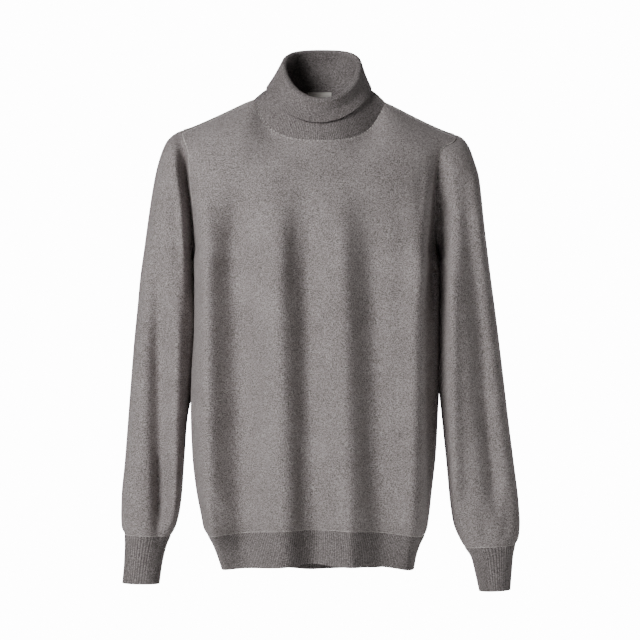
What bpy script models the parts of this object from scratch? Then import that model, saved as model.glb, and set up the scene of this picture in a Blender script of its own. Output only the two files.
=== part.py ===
"""A fine-gauge roll-neck sweater, hollow and filled out as on a wearer.

Sizes are in millimetres and are turned to metres when a mesh is made. +Z is up, the front faces -Y
and +X is the viewer's right. The origin is the middle of the neck base, level with the shoulder's
high point. Every piece is a cloth wall lofted through the rows of the tables below.
"""

import math
from collections import namedtuple

import bpy
import numpy as np

MM = 0.001
CLOTH = 2.0
SEAM_GAP = 0.3
RIB_RISE = 0.7

# A level is a row of the body. Height and edges are at the side seam or armhole, and front and back
# are at the middle of each panel. Wrap is how far the section turns round the side, 1 for all of it.
Level = namedtuple(
    "Level",
    "height left right front_edge back_edge front_height front back_height back wrap square",
)
LEVELS = [
    Level(-693, -143, 141, 6, 6, -684, -96, -702, 104, 1, 3.0),
    Level(-672, -150, 145, 6, 6, -662, -99, -680, 107, 1, 3.0),
    Level(-655, -157, 151, 6, 6, -643, -103, -662, 111, 1, 3.0),
    Level(-643, -164, 157, 6, 6, -630, -108, -650, 116, 1, 3.0),
    Level(-632, -170, 161, 6, 6, -619, -112, -638, 119, 1, 3.0),
    Level(-612, -174, 164, 6, 6, -600, -115, -617, 121, 1, 3.0),
    Level(-575, -181, 168, 6, 6, -566, -117, -579, 121, 1, 3.0),
    Level(-520, -187, 174, 6, 6, -514, -115, -523, 117, 1, 3.0),
    Level(-460, -189, 177, 6, 6, -457, -112, -462, 110, 1, 3.0),
    Level(-400, -187.5, 180, 6, 6, -399, -111, -401, 104, 1, 3.0),
    Level(-340, -184, 180.5, 6, 6, -340, -112, -340, 101, 1, 3.0),
    Level(-285, -182.5, 179.5, 6, 6, -285, -114, -285, 102, 1, 3.0),
    Level(-235, -182.5, 176, 6, 6, -235, -114, -235, 105, 1, 2.8),
    Level(-200, -182.5, 173, -27, 44, -203, -113, -198, 108, 0.985, 2.8),
    Level(-162, -184, 172, -44, 63, -170, -110, -158, 109, 0.965, 2.8),
    Level(-124, -188, 172.5, -51, 72, -140, -105, -118, 105, 0.94, 2.8),
    Level(-86, -190.5, 176, -50, 73, -112, -98, -78, 98, 0.91, 2.8),
]
HEM_SEAM = 3
ARMPIT = 12
YOKE = 16
BODY_MIDDLE = 1.5

# Half of the neckline, from the high point of the shoulder to the middle. Rise is the slope, in
# degrees, at which the panel runs up into the seam.
Neck = namedtuple("Neck", "across depth height rise")
FRONT_NECK = [
    Neck(97, -14, -1, 32),
    Neck(88, -29, -20, 45),
    Neck(73, -48, -43, 57),
    Neck(49, -67, -57.5, 65),
    Neck(25, -78, -62.5, 69),
    Neck(0, -82, -64, 70),
]
BACK_NECK = [
    Neck(97, -14, -1, -32),
    Neck(93, 8, 5, 5),
    Neck(80, 32, 7, 25),
    Neck(60, 50, 7, 48),
    Neck(30, 61, 7, 62),
    Neck(0, 65, 7, 68),
]
NECK_SHARE = 0.6
SHOULDER_TIPS = {-1: (-200, -18, -50), 1: (202, -18, -57)}
SHOULDER_RISE = 32
# How far the high point of each shoulder is down from the table, and the sag of the seam beyond it.
SHOULDER_DROP = {-1: 0, 1: 4}
SHOULDER_SAG = {-1: 1.5, 1: 2}
YOKE_FULLNESS = 1.1
SECTION_SAMPLES = 120
# Part of a level, over which the direction of the cloth is taken.
LEVEL_STEP = 0.1

# Two pieces share their normals along a seam where the cosine between them is over this.
SHARED_NORMALS = 0.3

# Soft lengthwise folds of the body. The middle runs from high to low across the panel, a negative
# depth is a ridge. The fold fades in between its start and its full height, and has died away by
# its end.
Fold = namedtuple("Fold", "high low width depth start full end")
FRONT_FOLDS = [
    Fold(-138, -120, 21, 13, -95, -240, -900),
    Fold(-164, -158, 14, -8, -95, -240, -900),
    Fold(-60, -48, 21, -9, -110, -260, -900),
    Fold(-21, -9, 21, 12, -110, -260, -900),
    Fold(34, 48, 18, -8, -110, -260, -900),
    Fold(73, 88, 25, 12, -105, -260, -900),
    Fold(152, 146, 18, -9, -105, -240, -900),
]
BACK_FOLDS = [
    Fold(-104, -92, 21, 9, -190, -400, -900),
    Fold(-52, -50, 24, -4, -260, -420, -900),
    Fold(-6, -14, 18, 10, -230, -430, -900),
    Fold(44, 42, 22, -3, -260, -430, -900),
    Fold(98, 86, 20, 10, -170, -390, -900),
]
FOLD_HIGH = -150
FOLD_LOW = -640
FOLD_ENDING = 90
# How squarely the cloth faces forward or back where a fold starts to press in and where it is whole.
FOLD_FACING = (0.1, 0.6)

# A ring of a sleeve or cuff, seen edge-on from the front as a line from its outer to its inner side.
# Round says how far it has left the armhole's own shape for a plain oval.
Ring = namedtuple("Ring", "outer outer_height inner inner_height middle half_depth round")
LEFT_RINGS = [
    Ring(-200, -44, -182.5, -235, 12, 64, 0),
    Ring(-213, -50, -184, -238, 12, 65, 0.05),
    Ring(-224, -59, -184.5, -241, 12, 66, 0.15),
    Ring(-232, -74, -185, -245, 13, 66, 0.3),
    Ring(-241, -103, -184.5, -250, 15, 66, 0.5),
    Ring(-247.5, -137, -183.5, -256, 18, 65, 0.7),
    Ring(-253.5, -176, -182, -265, 22, 64, 0.85),
    Ring(-259.5, -219, -180, -279, 26, 63, 0.95),
    Ring(-265.5, -262, -177.5, -300, 28, 61, 1),
    Ring(-270, -309, -176.5, -327, 29, 59, 1),
    Ring(-274.5, -355, -178, -361, 28, 56, 1),
    Ring(-279, -414, -183.5, -415, 24, 52, 1),
    Ring(-283, -474, -194.5, -474, 15, 48, 1),
    Ring(-287, -533, -198.5, -533, 6, 43, 1),
    Ring(-291.5, -585, -202, -585, -1, 40, 1),
    Ring(-292, -612, -206, -613, -4, 39, 1),
    Ring(-291, -631, -211.5, -632, -6, 38, 1),
    Ring(-286.5, -642, -218, -644, -8, 36, 1),
]
RIGHT_RINGS = [
    Ring(202, -51, 176, -235, 12, 64, 0),
    Ring(214.5, -57, 177.5, -238, 11, 65, 0.05),
    Ring(224, -70, 178, -241, 9, 66, 0.15),
    Ring(230.5, -88, 178, -245, 5, 66, 0.3),
    Ring(237.5, -112, 178, -250, 0, 66, 0.5),
    Ring(241, -142, 178, -256, -5, 65, 0.7),
    Ring(244.5, -180, 178, -265, -11, 64, 0.85),
    Ring(249, -222, 177.5, -279, -17, 63, 0.95),
    Ring(254, -264, 177.5, -300, -22, 61, 1),
    Ring(260, -311, 177.5, -327, -26, 58, 1),
    Ring(265.5, -355, 177, -361, -28, 54, 1),
    Ring(272.5, -414, 176.5, -415, -29, 49, 1),
    Ring(279.5, -474, 181.5, -474, -30, 44, 1),
    Ring(287, -533, 187.5, -533, -31, 40, 1),
    Ring(294, -590, 193, -592, -32, 37, 1),
    Ring(296, -622, 198, -624, -33, 36, 1),
    Ring(294.5, -643, 207, -646, -34, 35.5, 1),
    Ring(289.5, -655, 214.5, -659, -34, 35, 1),
]
LEFT_CUFF = [
    Ring(-286, -658, -225, -660, -8, 31.5, 1),
    Ring(-287, -684, -231, -686, -9, 29.5, 1),
    Ring(-289.5, -713.5, -235, -714.5, -10, 29, 1),
]
RIGHT_CUFF = [
    Ring(286, -670, 224, -673, -34, 32, 1),
    Ring(283.5, -696, 230.5, -698, -35, 30.5, 1),
    Ring(281.5, -721, 236, -723, -36, 30, 1),
]
# A sleeve that hangs against the body stays this far outside it, from the first height down to the
# second, and turns away from it over the third length.
SLEEVE_CLEAR = (0.6, 1.2)
SLEEVE_CLEAR_HEIGHTS = (-236, -280)
SLEEVE_BEND = 2.0
RING_SQUARE = 2.15
LEFT_SLEEVE_FOLDS = [
    Fold(-239, -234, 11, 9, -130, -420, -680),
    Fold(-214, -215, 14, -3, -200, -420, -660),
]
RIGHT_SLEEVE_FOLDS = [
    Fold(235, 247, 13, 8, -80, -180, -640),
    Fold(207, 210, 14, -3, -150, -300, -640),
]

# The collar's loops, on the side that faces in on the stand and out on the turned-down layer.
# Height goes from front to side to back.
Loop = namedtuple("Loop", "middle half_width front back front_height side_height back_height")
CREST = Loop(4.5, 56, -66, 50, -2, 53, 78.5)
EDGE = Loop(0.5, 78, -80, 70, -38, 16, 22)
CREST_RADIUS = 4.0
# Rows of the stand, as shares of the way in and of the way up to the crest.
STAND_ROWS = [(0.0, 0.0), (0.5, 0.25), (0.82, 0.58)]
CREST_TURNS = [0, 45, 90, 135, 180]
LAYER_SAG = 1.0
EDGE_TILT = 0.4

LABEL_WIDTH = 36
LABEL_TOP = 16
LABEL_BOTTOM = -2
LABEL_THICK = 0.8
LABEL_CLEAR = 1.4
LABEL_ROWS = 3
LABEL_COLUMNS = 7
LABEL_REACH = 3

# Columns of each mesh: one shoulder, the whole front neckline, the whole back neckline, and the
# steps up each half of an armhole.
SHOULDER_COLUMNS = 8
FRONT_NECK_COLUMNS = 20
BACK_NECK_COLUMNS = 14
YOKE_ROWS = 6
RIBS_PER_COLUMN = 2
SHARP_ANGLE = 60

YARN_GREY = "#7c7674"
LABEL_GREY = "#c9c4bf"


def linear_colour(code):
    """An sRGB hex code as linear red, green, blue and alpha."""
    parts = [int(code[place:place + 2], 16) / 255 for place in (1, 3, 5)]
    return [part / 12.92 if part <= 0.04045 else ((part + 0.055) / 1.055) ** 2.4 for part in parts] + [1]


def cloth_material(name, code, roughness):
    """A matt fabric material of one colour."""
    material = bpy.data.materials.new(name)
    material.use_nodes = True
    shader = material.node_tree.nodes["Principled BSDF"]
    shader.inputs["Base Color"].default_value = linear_colour(code)
    shader.inputs["Roughness"].default_value = roughness
    shader.inputs["Metallic"].default_value = 0
    return material


def smooth(keys, values, places):
    """Values at the given places of a curve through the keys that never overshoots them."""
    keys = np.asarray(keys, float)
    values = np.asarray(values, float).reshape(len(keys), -1)
    places = np.clip(np.atleast_1d(np.asarray(places, float)), keys[0], keys[-1])
    span = np.diff(keys)
    steep = np.diff(values, axis=0) / span[:, None]
    total = steep[:-1] + steep[1:]
    agree = steep[:-1] * steep[1:] > 0
    inner = np.where(agree, 2 * steep[:-1] * steep[1:] / np.where(agree, total, 1), 0)
    slope = np.concatenate([steep[:1], inner, steep[-1:]])
    row = np.clip(np.searchsorted(keys, places, side="right") - 1, 0, len(keys) - 2)
    step = span[row][:, None]
    along = (places - keys[row])[:, None] / step
    result = values[row] * (1 + 2 * along) * (1 - along) ** 2
    result += slope[row] * step * along * (1 - along) ** 2
    result += values[row + 1] * along**2 * (3 - 2 * along)
    return result + slope[row + 1] * step * along**2 * (along - 1)


def table_row(table, place):
    """The table's row type, filled in for a place between its rows."""
    values = smooth(range(len(table)), table, place)[0]
    return type(table[0])(*values)


def section_half(middle, edge, wrap, square, places):
    """Points of half a section, at the given shares of its length from the middle to its edge."""
    last = math.asin(min(1.0, wrap ** (square / 2)))
    turn = np.linspace(0, last, SECTION_SAMPLES)
    reach = np.sin(turn) ** (2 / square)
    drop = 1 - np.maximum(np.cos(turn), 0) ** (2 / square)
    reach /= reach[-1]
    drop /= drop[-1]
    offset = np.subtract(edge, middle)
    points = np.stack([reach * offset[0], drop * offset[1], reach**2 * offset[2]], axis=1)
    length = np.concatenate([[0], np.cumsum(np.linalg.norm(np.diff(points, axis=0), axis=1))])
    picked = [np.interp(places, length / length[-1], points[:, axis]) for axis in range(3)]
    return np.add(middle, np.stack(picked, axis=1))


def body_section(face, level, across):
    """Points of a panel at one level, at places across it from -1 at the left to 1 at the right."""
    row = table_row(LEVELS, level)
    is_front = face == "front"
    depth = row.front if is_front else row.back
    height = row.front_height if is_front else row.back_height
    edge_depth = row.front_edge if is_front else row.back_edge
    middle = ((row.left + row.right) / 2, depth, height)
    points = np.empty((len(across), 3))
    for side, edge in ((-1, row.left), (1, row.right)):
        chosen = across > 0 if side > 0 else across <= 0
        half = section_half(
            middle, (edge, edge_depth, row.height), row.wrap, row.square, abs(across[chosen])
        )
        points[chosen] = half
    return points


def top_edge(face, across):
    """The shoulder seams and neckline of a panel, and the direction in which it runs into them."""
    table = FRONT_NECK if face == "front" else BACK_NECK
    corners = np.array([row[:3] for row in table], float)
    length = np.concatenate([[0], np.cumsum(np.linalg.norm(np.diff(corners, axis=0), axis=1))])
    length /= length[-1]
    toward = 1 if face == "front" else -1
    shoulder_rise = SHOULDER_RISE * toward
    points = np.empty((len(across), 3))
    rises = np.empty(len(across))
    for index, place in enumerate(across):
        side = 1 if place > 0 else -1
        if abs(place) >= NECK_SHARE:
            share = (abs(place) - NECK_SHARE) / (1 - NECK_SHARE)
            neck_point = corners[0] * (side, 1, 1) + (BODY_MIDDLE, 0, -SHOULDER_DROP[side])
            points[index] = neck_point + share * (np.array(SHOULDER_TIPS[side]) - neck_point)
            points[index, 2] -= SHOULDER_SAG[side] * 4 * share * (1 - share)
            rises[index] = shoulder_rise
        else:
            row = smooth(length, table, 1 - abs(place) / NECK_SHARE)[0]
            drop = SHOULDER_DROP[side] * abs(place) / NECK_SHARE
            points[index] = (side * row[0] + BODY_MIDDLE, row[1], row[2] - drop)
            rises[index] = row[3]
    angle = np.radians(rises)
    heading = np.stack([np.zeros(len(across)), toward * np.cos(angle), np.sin(angle)], axis=1)
    return points, heading


def yoke(face, across, shares):
    """Rows of a panel from the yoke level to its top edge, at the given shares of the way."""
    start = body_section(face, YOKE, across)
    leaving = start - body_section(face, YOKE - LEVEL_STEP, across)
    leaving /= np.linalg.norm(leaving, axis=1, keepdims=True)
    end, arriving = top_edge(face, across)
    reach = np.linalg.norm(end - start, axis=1, keepdims=True) * YOKE_FULLNESS
    rows = []
    for share in shares:
        row = start * (1 + 2 * share) * (1 - share) ** 2
        row = row + leaving * reach * share * (1 - share) ** 2
        row = row + end * share**2 * (3 - 2 * share)
        row = row + arriving * reach * share**2 * (share - 1)
        rows.append(row)
    return np.stack(rows)


def unit(vectors):
    """The vectors at length 1."""
    return vectors / np.maximum(np.linalg.norm(vectors, axis=-1, keepdims=True), 1e-9)


def slopes(grid, axis, closed):
    """The direction along one axis of a grid of points."""
    if closed:
        return np.roll(grid, -1, axis) - np.roll(grid, 1, axis)
    return np.gradient(grid, axis=axis)


def outward(grid, closed=False):
    """Unit normals of a grid whose columns run left to right and rows upwards, seen from outside."""
    return unit(np.cross(slopes(grid, 1, closed), slopes(grid, 0, False)))


def fade(places, start, full):
    """0 before the start, 1 past the full place, and smooth between them."""
    share = np.clip((places - start) / (full - start), 0, 1)
    return share**2 * (3 - 2 * share)


def fold_depths(points, folds):
    """How deep the lengthwise folds press into the cloth at each point."""
    total = np.zeros(points.shape[:-1])
    share = np.clip((points[..., 2] - FOLD_HIGH) / (FOLD_LOW - FOLD_HIGH), 0, 1)
    for fold in folds:
        middle = fold.high + share * (fold.low - fold.high)
        shape = np.exp(-(((points[..., 0] - middle) / fold.width) ** 2))
        shape = shape * fade(points[..., 2], fold.end, fold.end + FOLD_ENDING)
        total += fold.depth * shape * fade(points[..., 2], fold.start, fold.full)
    return total


def press_folds(grid, folds, facing, closed=False):
    """The grid with its folds pressed in, where the cloth faces the given way."""
    level_normal = unit(outward(grid, closed) * (1, 1, 0))
    seen = np.clip(level_normal @ np.asarray(facing, float), 0, 1)
    return grid - level_normal * (fold_depths(grid, folds) * fade(seen, *FOLD_FACING))[..., None]


def body_panel(face, levels, yoke_shares, across):
    """The outer points of a panel, rows upwards and columns left to right as seen from outside."""
    rows = [body_section(face, level, across) for level in levels]
    grid = np.concatenate([np.stack(rows), yoke(face, across, yoke_shares)])
    if face == "back":
        return press_folds(grid[:, ::-1], BACK_FOLDS, (0, 1, 0))
    return press_folds(grid, FRONT_FOLDS, (0, -1, 0))


def armhole_places(rows, side):
    """Panel, row and column of each point round an armhole, up its front and down its back."""
    front_column, back_column = (0, -1) if side < 0 else (-1, 0)
    upwards = [("front", row, front_column) for row in range(ARMPIT, rows)]
    downwards = [("back", row, back_column) for row in range(rows - 2, ARMPIT, -1)]
    return upwards + downwards


def neck_places():
    """Panel, row and column of each point round the neckline, along the front and then the back."""
    front_run = range(SHOULDER_COLUMNS, SHOULDER_COLUMNS + FRONT_NECK_COLUMNS + 1)
    back_run = range(SHOULDER_COLUMNS + 1, SHOULDER_COLUMNS + BACK_NECK_COLUMNS)
    return [("front", -1, column) for column in front_run] + [("back", -1, column) for column in back_run]


def points_at(grids, places):
    """The points of the panels at the given places."""
    return np.stack([grids[face][row, column] for face, row, column in places])


def share_normals(one, two):
    """The mean of two rows of normals, where the cloth doesn't double back at the seam."""
    agree = np.sum(one * two, axis=-1, keepdims=True) > SHARED_NORMALS
    mean = unit(one + two)
    return np.where(agree, mean, one), np.where(agree, mean, two)


def share_body_seams(normals):
    """Gives both panels the same normals along the side seams and shoulder seams."""
    front, back = normals["front"], normals["back"]
    sides = slice(0, ARMPIT + 1)
    shoulder = np.arange(SHOULDER_COLUMNS + 1)
    pairs = [
        ((sides, 0), (sides, -1)),
        ((sides, -1), (sides, 0)),
        ((-1, shoulder), (-1, -1 - shoulder)),
        ((-1, -1 - shoulder), (-1, shoulder)),
    ]
    for front_place, back_place in pairs:
        shared = share_normals(front[front_place], back[back_place])
        front[front_place], back[back_place] = shared


def share_with_panels(normals, places, row):
    """Gives a tube's first row and the panel edges that it is sewn to the same normals."""
    panel_row, shared = share_normals(points_at(normals, places), row)
    for (face, panel_rows, column), normal in zip(places, panel_row):
        normals[face][panel_rows, column] = normal
    return shared


def ring_frame(row):
    """Middle, half length and the two directions of a ring, in the plane of the front view."""
    outer = np.array([row.outer, row.outer_height])
    inner = np.array([row.inner, row.inner_height])
    across = (outer - inner) / 2
    half = np.linalg.norm(across)
    across = across / half
    return (outer + inner) / 2, half, across, np.array([-across[1], across[0]])


def oval(count):
    """Shares across and back of an even oval ring that starts at its inner side and turns by the front."""
    turn = np.pi - np.arange(count) * 2 * np.pi / count
    power = 2 / RING_SQUARE
    across = np.sign(np.cos(turn)) * np.abs(np.cos(turn)) ** power
    back = -np.sign(np.sin(turn)) * np.abs(np.sin(turn)) ** power
    return across, back


def body_side(side, depth, height):
    """How far across the body reaches at a depth and a height, on one side below the armhole."""
    heights = [row.height for row in LEVELS[:ARMPIT + 1]]
    columns = [(row.left, row.right, row.front_edge, row.front, row.back) for row in LEVELS[:ARMPIT + 1]]
    left, right, edge_depth, front, back = smooth(heights, columns, height).T
    edge = left if side < 0 else right
    middle = (left + right) / 2
    reach = np.where(depth < edge_depth, front, back) - edge_depth
    share = np.clip(np.abs((depth - edge_depth) / reach), 0, 1)
    square = LEVELS[0].square
    return middle + (edge - middle) * (1 - share**square) ** (1 / square)


def rest_on_body(points, side):
    """The sleeve's points, moved out to where the body's side leaves room for them."""
    high, low = SLEEVE_CLEAR_HEIGHTS
    share = fade(-points[:, 2], -high, -low)
    clear = SLEEVE_CLEAR[0] + share * (SLEEVE_CLEAR[1] - SLEEVE_CLEAR[0])
    limit = body_side(side, points[:, 1], points[:, 2]) * side + clear
    reach = points[:, 0] * side
    bend = SLEEVE_BEND * share
    moved = (reach + limit + np.sqrt((reach - limit) ** 2 + bend**2)) / 2
    below = points[:, 2] < high
    result = points.copy()
    result[below, 0] = moved[below] * side
    return result


def sleeve_rings(table, loop, places):
    """Rings of a tube at the given places of its table, grown from the armhole loop."""
    middle, half, across, normal = ring_frame(table[0])
    offset = loop[:, [0, 2]] - middle
    loop_across = offset @ across / half
    loop_out = offset @ normal
    loop_back = (loop[:, 1] - table[0].middle) / table[0].half_depth
    oval_across, oval_back = oval(len(loop))
    side = 1 if table[0].outer > 0 else -1
    rings = []
    for place in places:
        row = table_row(table, place)
        middle, half, across, normal = ring_frame(row)
        share_across = loop_across + (oval_across - loop_across) * row.round
        share_back = loop_back + (oval_back - loop_back) * row.round
        out = loop_out * (1 - row.round)
        flat = middle + share_across[:, None] * half * across + out[:, None] * normal
        depth = row.middle + share_back * row.half_depth
        ring = np.stack([flat[:, 0], depth, flat[:, 1]], axis=1)
        rings.append(rest_on_body(ring, side) if place else ring)
    return np.stack(rings)


def tube(table, loop, side, folds):
    """A sleeve and its cuff as rows downwards, with columns round from the armpit by the front."""
    grid = sleeve_rings(table, loop, range(len(table)))
    turned = grid[::-1] if side > 0 else grid[::-1, ::-1]
    pressed = press_folds(turned, folds, (0, -1, 0), closed=True)
    return pressed[::-1] if side > 0 else pressed[::-1, ::-1]


def pull_in(grid, normal, closed):
    """The grid with its open edges drawn back by half a seam gap."""
    result = grid.copy()
    edges = [(0, 0), (0, -1)] if closed else [(0, 0), (0, -1), (1, 0), (1, -1)]
    for axis, end in edges:
        inside = 1 if end == 0 else -2
        place = (end,) if axis == 0 else (slice(None), end)
        next_place = (inside,) if axis == 0 else (slice(None), inside)
        along = slopes(grid, 1 - axis, closed and axis == 0)[place]
        inward = unit(np.cross(normal[place], along))
        turned = np.sum(inward * (grid[next_place] - grid[place]), axis=-1, keepdims=True)
        result[place] += inward * np.where(turned < 0, -1, 1) * SEAM_GAP / 2
    return result


def refine(grid, closed, steps):
    """The grid with each column step split evenly, still on the same straight lines."""
    source = np.concatenate([grid, grid[:, :1]], axis=1) if closed else grid
    shares = np.arange(steps)[None, None, :, None] / steps
    split = source[:, :-1, None] * (1 - shares) + source[:, 1:, None] * shares
    split = split.reshape(len(grid), -1, 3)
    return split if closed else np.concatenate([split, grid[:, -1:]], axis=1)


def raise_ribs(grid, normal, closed, ribs):
    """The grid with ribs raised on it, a number of them to each column step."""
    fine = refine(grid, closed, 2 * ribs)
    fine_normal = unit(refine(normal, closed, 2 * ribs))
    crest = np.arange(fine.shape[1]) % 2
    return fine + fine_normal * (crest * RIB_RISE)[None, :, None]


def wall_faces(outer, inner, closed, steps):
    """Faces of a wall whose outer grid has a number of columns to each one of its inner grid."""
    rows, fine = outer.shape[:2]
    coarse = inner.shape[1]
    base = rows * fine
    faces = []

    def out(row, column):
        return row * fine + column % fine

    def back(row, column):
        return base + row * coarse + column % coarse

    fine_steps = fine if closed else fine - 1
    coarse_steps = coarse if closed else coarse - 1
    for row in range(rows - 1):
        for column in range(fine_steps):
            low = (out(row, column), out(row, column + 1))
            high = (out(row + 1, column + 1), out(row + 1, column))
            faces.append(low + high)
        for column in range(coarse_steps):
            low = (back(row, column + 1), back(row, column))
            high = (back(row + 1, column), back(row + 1, column + 1))
            faces.append(low + high)
    for column in range(coarse_steps):
        run = range(column * steps, column * steps + steps + 1)
        faces.append([out(0, place) for place in reversed(run)] + [back(0, column), back(0, column + 1)])
        faces.append(
            [out(rows - 1, place) for place in run] + [back(rows - 1, column + 1), back(rows - 1, column)]
        )
    if not closed:
        for row in range(rows - 1):
            faces.append((out(row, 0), out(row + 1, 0), back(row + 1, 0), back(row, 0)))
            last = (back(row, coarse - 1), back(row + 1, coarse - 1))
            faces.append(last + (out(row + 1, fine - 1), out(row, fine - 1)))
    return faces


def build_wall(name, outer, normal, thickness, closed, ribs, material, collection):
    """Makes one piece as a closed wall, from its outer points and the way that each of them faces."""
    inner = outer - normal * thickness
    steps = 2 * ribs if ribs else 1
    shown = raise_ribs(outer, normal, closed, ribs) if ribs else outer
    points = np.concatenate([shown.reshape(-1, 3), inner.reshape(-1, 3)]) * MM
    mesh = bpy.data.meshes.new(name)
    mesh.from_pydata(points.tolist(), [], wall_faces(shown, inner, closed, steps))
    mesh.validate()
    mesh.shade_smooth()
    mesh.set_sharp_from_angle(angle=math.radians(SHARP_ANGLE))
    mesh.materials.append(material)
    piece = bpy.data.objects.new(name, mesh)
    collection.objects.link(piece)


def build_cloth(name, grid, normal, closed, ribs, material, collection):
    """Makes one piece of cloth, drawn back a little from its neighbours at the seams."""
    outer = pull_in(grid, normal, closed)
    build_wall(name, outer, normal, CLOTH, closed, ribs, material, collection)


def loop_points(loop, angle):
    """Points of a collar loop, at angles from the front that grow towards +X."""
    middle_depth = (loop.front + loop.back) / 2
    half_depth = (loop.back - loop.front) / 2
    middle_height = (loop.front_height + loop.back_height) / 2
    half_height = (loop.back_height - loop.front_height) / 2
    side_lift = loop.side_height - middle_height
    x = loop.middle + loop.half_width * np.sin(angle)
    y = middle_depth - half_depth * np.cos(angle)
    z = middle_height - half_height * np.cos(angle) + side_lift * np.sin(angle) ** 2
    return np.stack([x, y, z], axis=1)


def collar_profile(seam):
    """The collar's hidden side, rows from the neck seam over the crest to the turned-down edge."""
    half_width = FRONT_NECK[0].across
    half_depth = (BACK_NECK[-1].depth - FRONT_NECK[-1].depth) / 2
    middle_depth = (BACK_NECK[-1].depth + FRONT_NECK[-1].depth) / 2
    angle = np.arctan2((seam[:, 0] - BODY_MIDDLE) / half_width, (middle_depth - seam[:, 1]) / half_depth)
    crest = loop_points(CREST, angle)
    edge = loop_points(EDGE, angle)
    ring_width = CREST.half_width
    ring_depth = (CREST.back - CREST.front) / 2
    away = unit(np.stack([np.sin(angle) / ring_width, -np.cos(angle) / ring_depth, 0 * angle], axis=1))
    up = np.array([0, 0, 1.0])
    hidden_radius = CREST_RADIUS - CLOTH
    centre = crest - up * CREST_RADIUS
    start = centre - away * hidden_radius
    rows = []
    for inward_share, height_share in STAND_ROWS:
        row = seam + (start - seam) * inward_share
        row[:, 2] = seam[:, 2] + (start[:, 2] - seam[:, 2]) * height_share
        rows.append(row)
    for turn in np.radians(CREST_TURNS):
        rows.append(centre + hidden_radius * (up * math.sin(turn) - away * math.cos(turn)))
    finish = edge - unit(away + up * EDGE_TILT) * CLOTH
    rows.append((rows[-1] + finish) / 2 - away * LAYER_SAG)
    rows.append(finish)
    return np.stack(rows)


def collar_grids(seam, normals):
    """Hidden-side points and normals of the collar, with the neck seam shared with the panels."""
    hidden = collar_profile(seam)
    normal = outward(hidden, closed=True)
    normal[0] = share_with_panels(normals, neck_places(), normal[0])
    return hidden, normal


def build_collar(hidden, normal, material, collection):
    """Makes the collar, whose ribbed side is the one away from the stand's outside."""
    drawn = pull_in(hidden, normal, closed=True)
    shown = (drawn - normal * CLOTH)[::-1]
    build_wall("collar", shown, -normal[::-1], CLOTH, True, RIBS_PER_COLUMN, material, collection)
    return shown


def label_row(stand, height, across):
    """Points across the label at one height, a little inside the collar's stand."""
    reach = [
        [np.interp(height, column[:, 2], column[:, axis]) for axis in (0, 1)]
        for column in stand
    ]
    places = np.array(sorted(reach))
    depth = np.interp(across, places[:, 0], places[:, 1]) - LABEL_CLEAR
    return np.stack([across, depth, np.full(len(across), height)], axis=1)


def build_label(shown, material, collection):
    """Makes the label, which hangs inside the back of the neck."""
    back_middle = FRONT_NECK_COLUMNS + BACK_NECK_COLUMNS // 2
    columns = range(back_middle - LABEL_REACH, back_middle + LABEL_REACH + 1)
    stand = [shown[::-1][:len(STAND_ROWS) + 1, column] for column in columns]
    across = np.linspace(LABEL_WIDTH / 2, -LABEL_WIDTH / 2, LABEL_COLUMNS) + BODY_MIDDLE
    heights = np.linspace(LABEL_BOTTOM, LABEL_TOP, LABEL_ROWS)
    grid = np.stack([label_row(stand, height, across) for height in heights])
    build_wall("neck_label", grid, outward(grid), LABEL_THICK, False, 0, material, collection)


def clear_scene():
    """Removes every object that the file opens with."""
    for item in list(bpy.data.objects):
        bpy.data.objects.remove(item)


def across_places(neck_columns):
    """Places across a panel, with the neck points on two of them."""
    outer = np.linspace(-1, -NECK_SHARE, SHOULDER_COLUMNS + 1)
    neck = np.linspace(-NECK_SHARE, NECK_SHARE, neck_columns + 1)
    return np.concatenate([outer, neck[1:-1], -outer[::-1]])


def build_body(grids, normals, material, collection):
    """Makes each panel and the hem rib below it from one grid, split at the hem seam."""
    for face, grid in grids.items():
        panel = slice(HEM_SEAM, None)
        band = slice(0, HEM_SEAM + 1)
        normal = normals[face]
        build_cloth(face + "_panel", grid[panel], normal[panel], False, 0, material, collection)
        build_cloth(face + "_hem_rib", grid[band], normal[band], False, RIBS_PER_COLUMN, material, collection)


def build_sleeve(name, side, grid, normal, cuff_seam, material, collection):
    """Makes a sleeve and its cuff from one grid, split at the cuff seam."""
    order = slice(None, None, 1 if side > 0 else -1)
    pieces = (("_sleeve", slice(0, cuff_seam + 1), 0), ("_cuff", slice(cuff_seam, None), RIBS_PER_COLUMN))
    for ending, rows, ribs in pieces:
        shown = grid[rows][::-1, order]
        facing = normal[rows][::-1, order]
        build_cloth(name + ending, shown, facing, True, ribs, material, collection)


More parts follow.
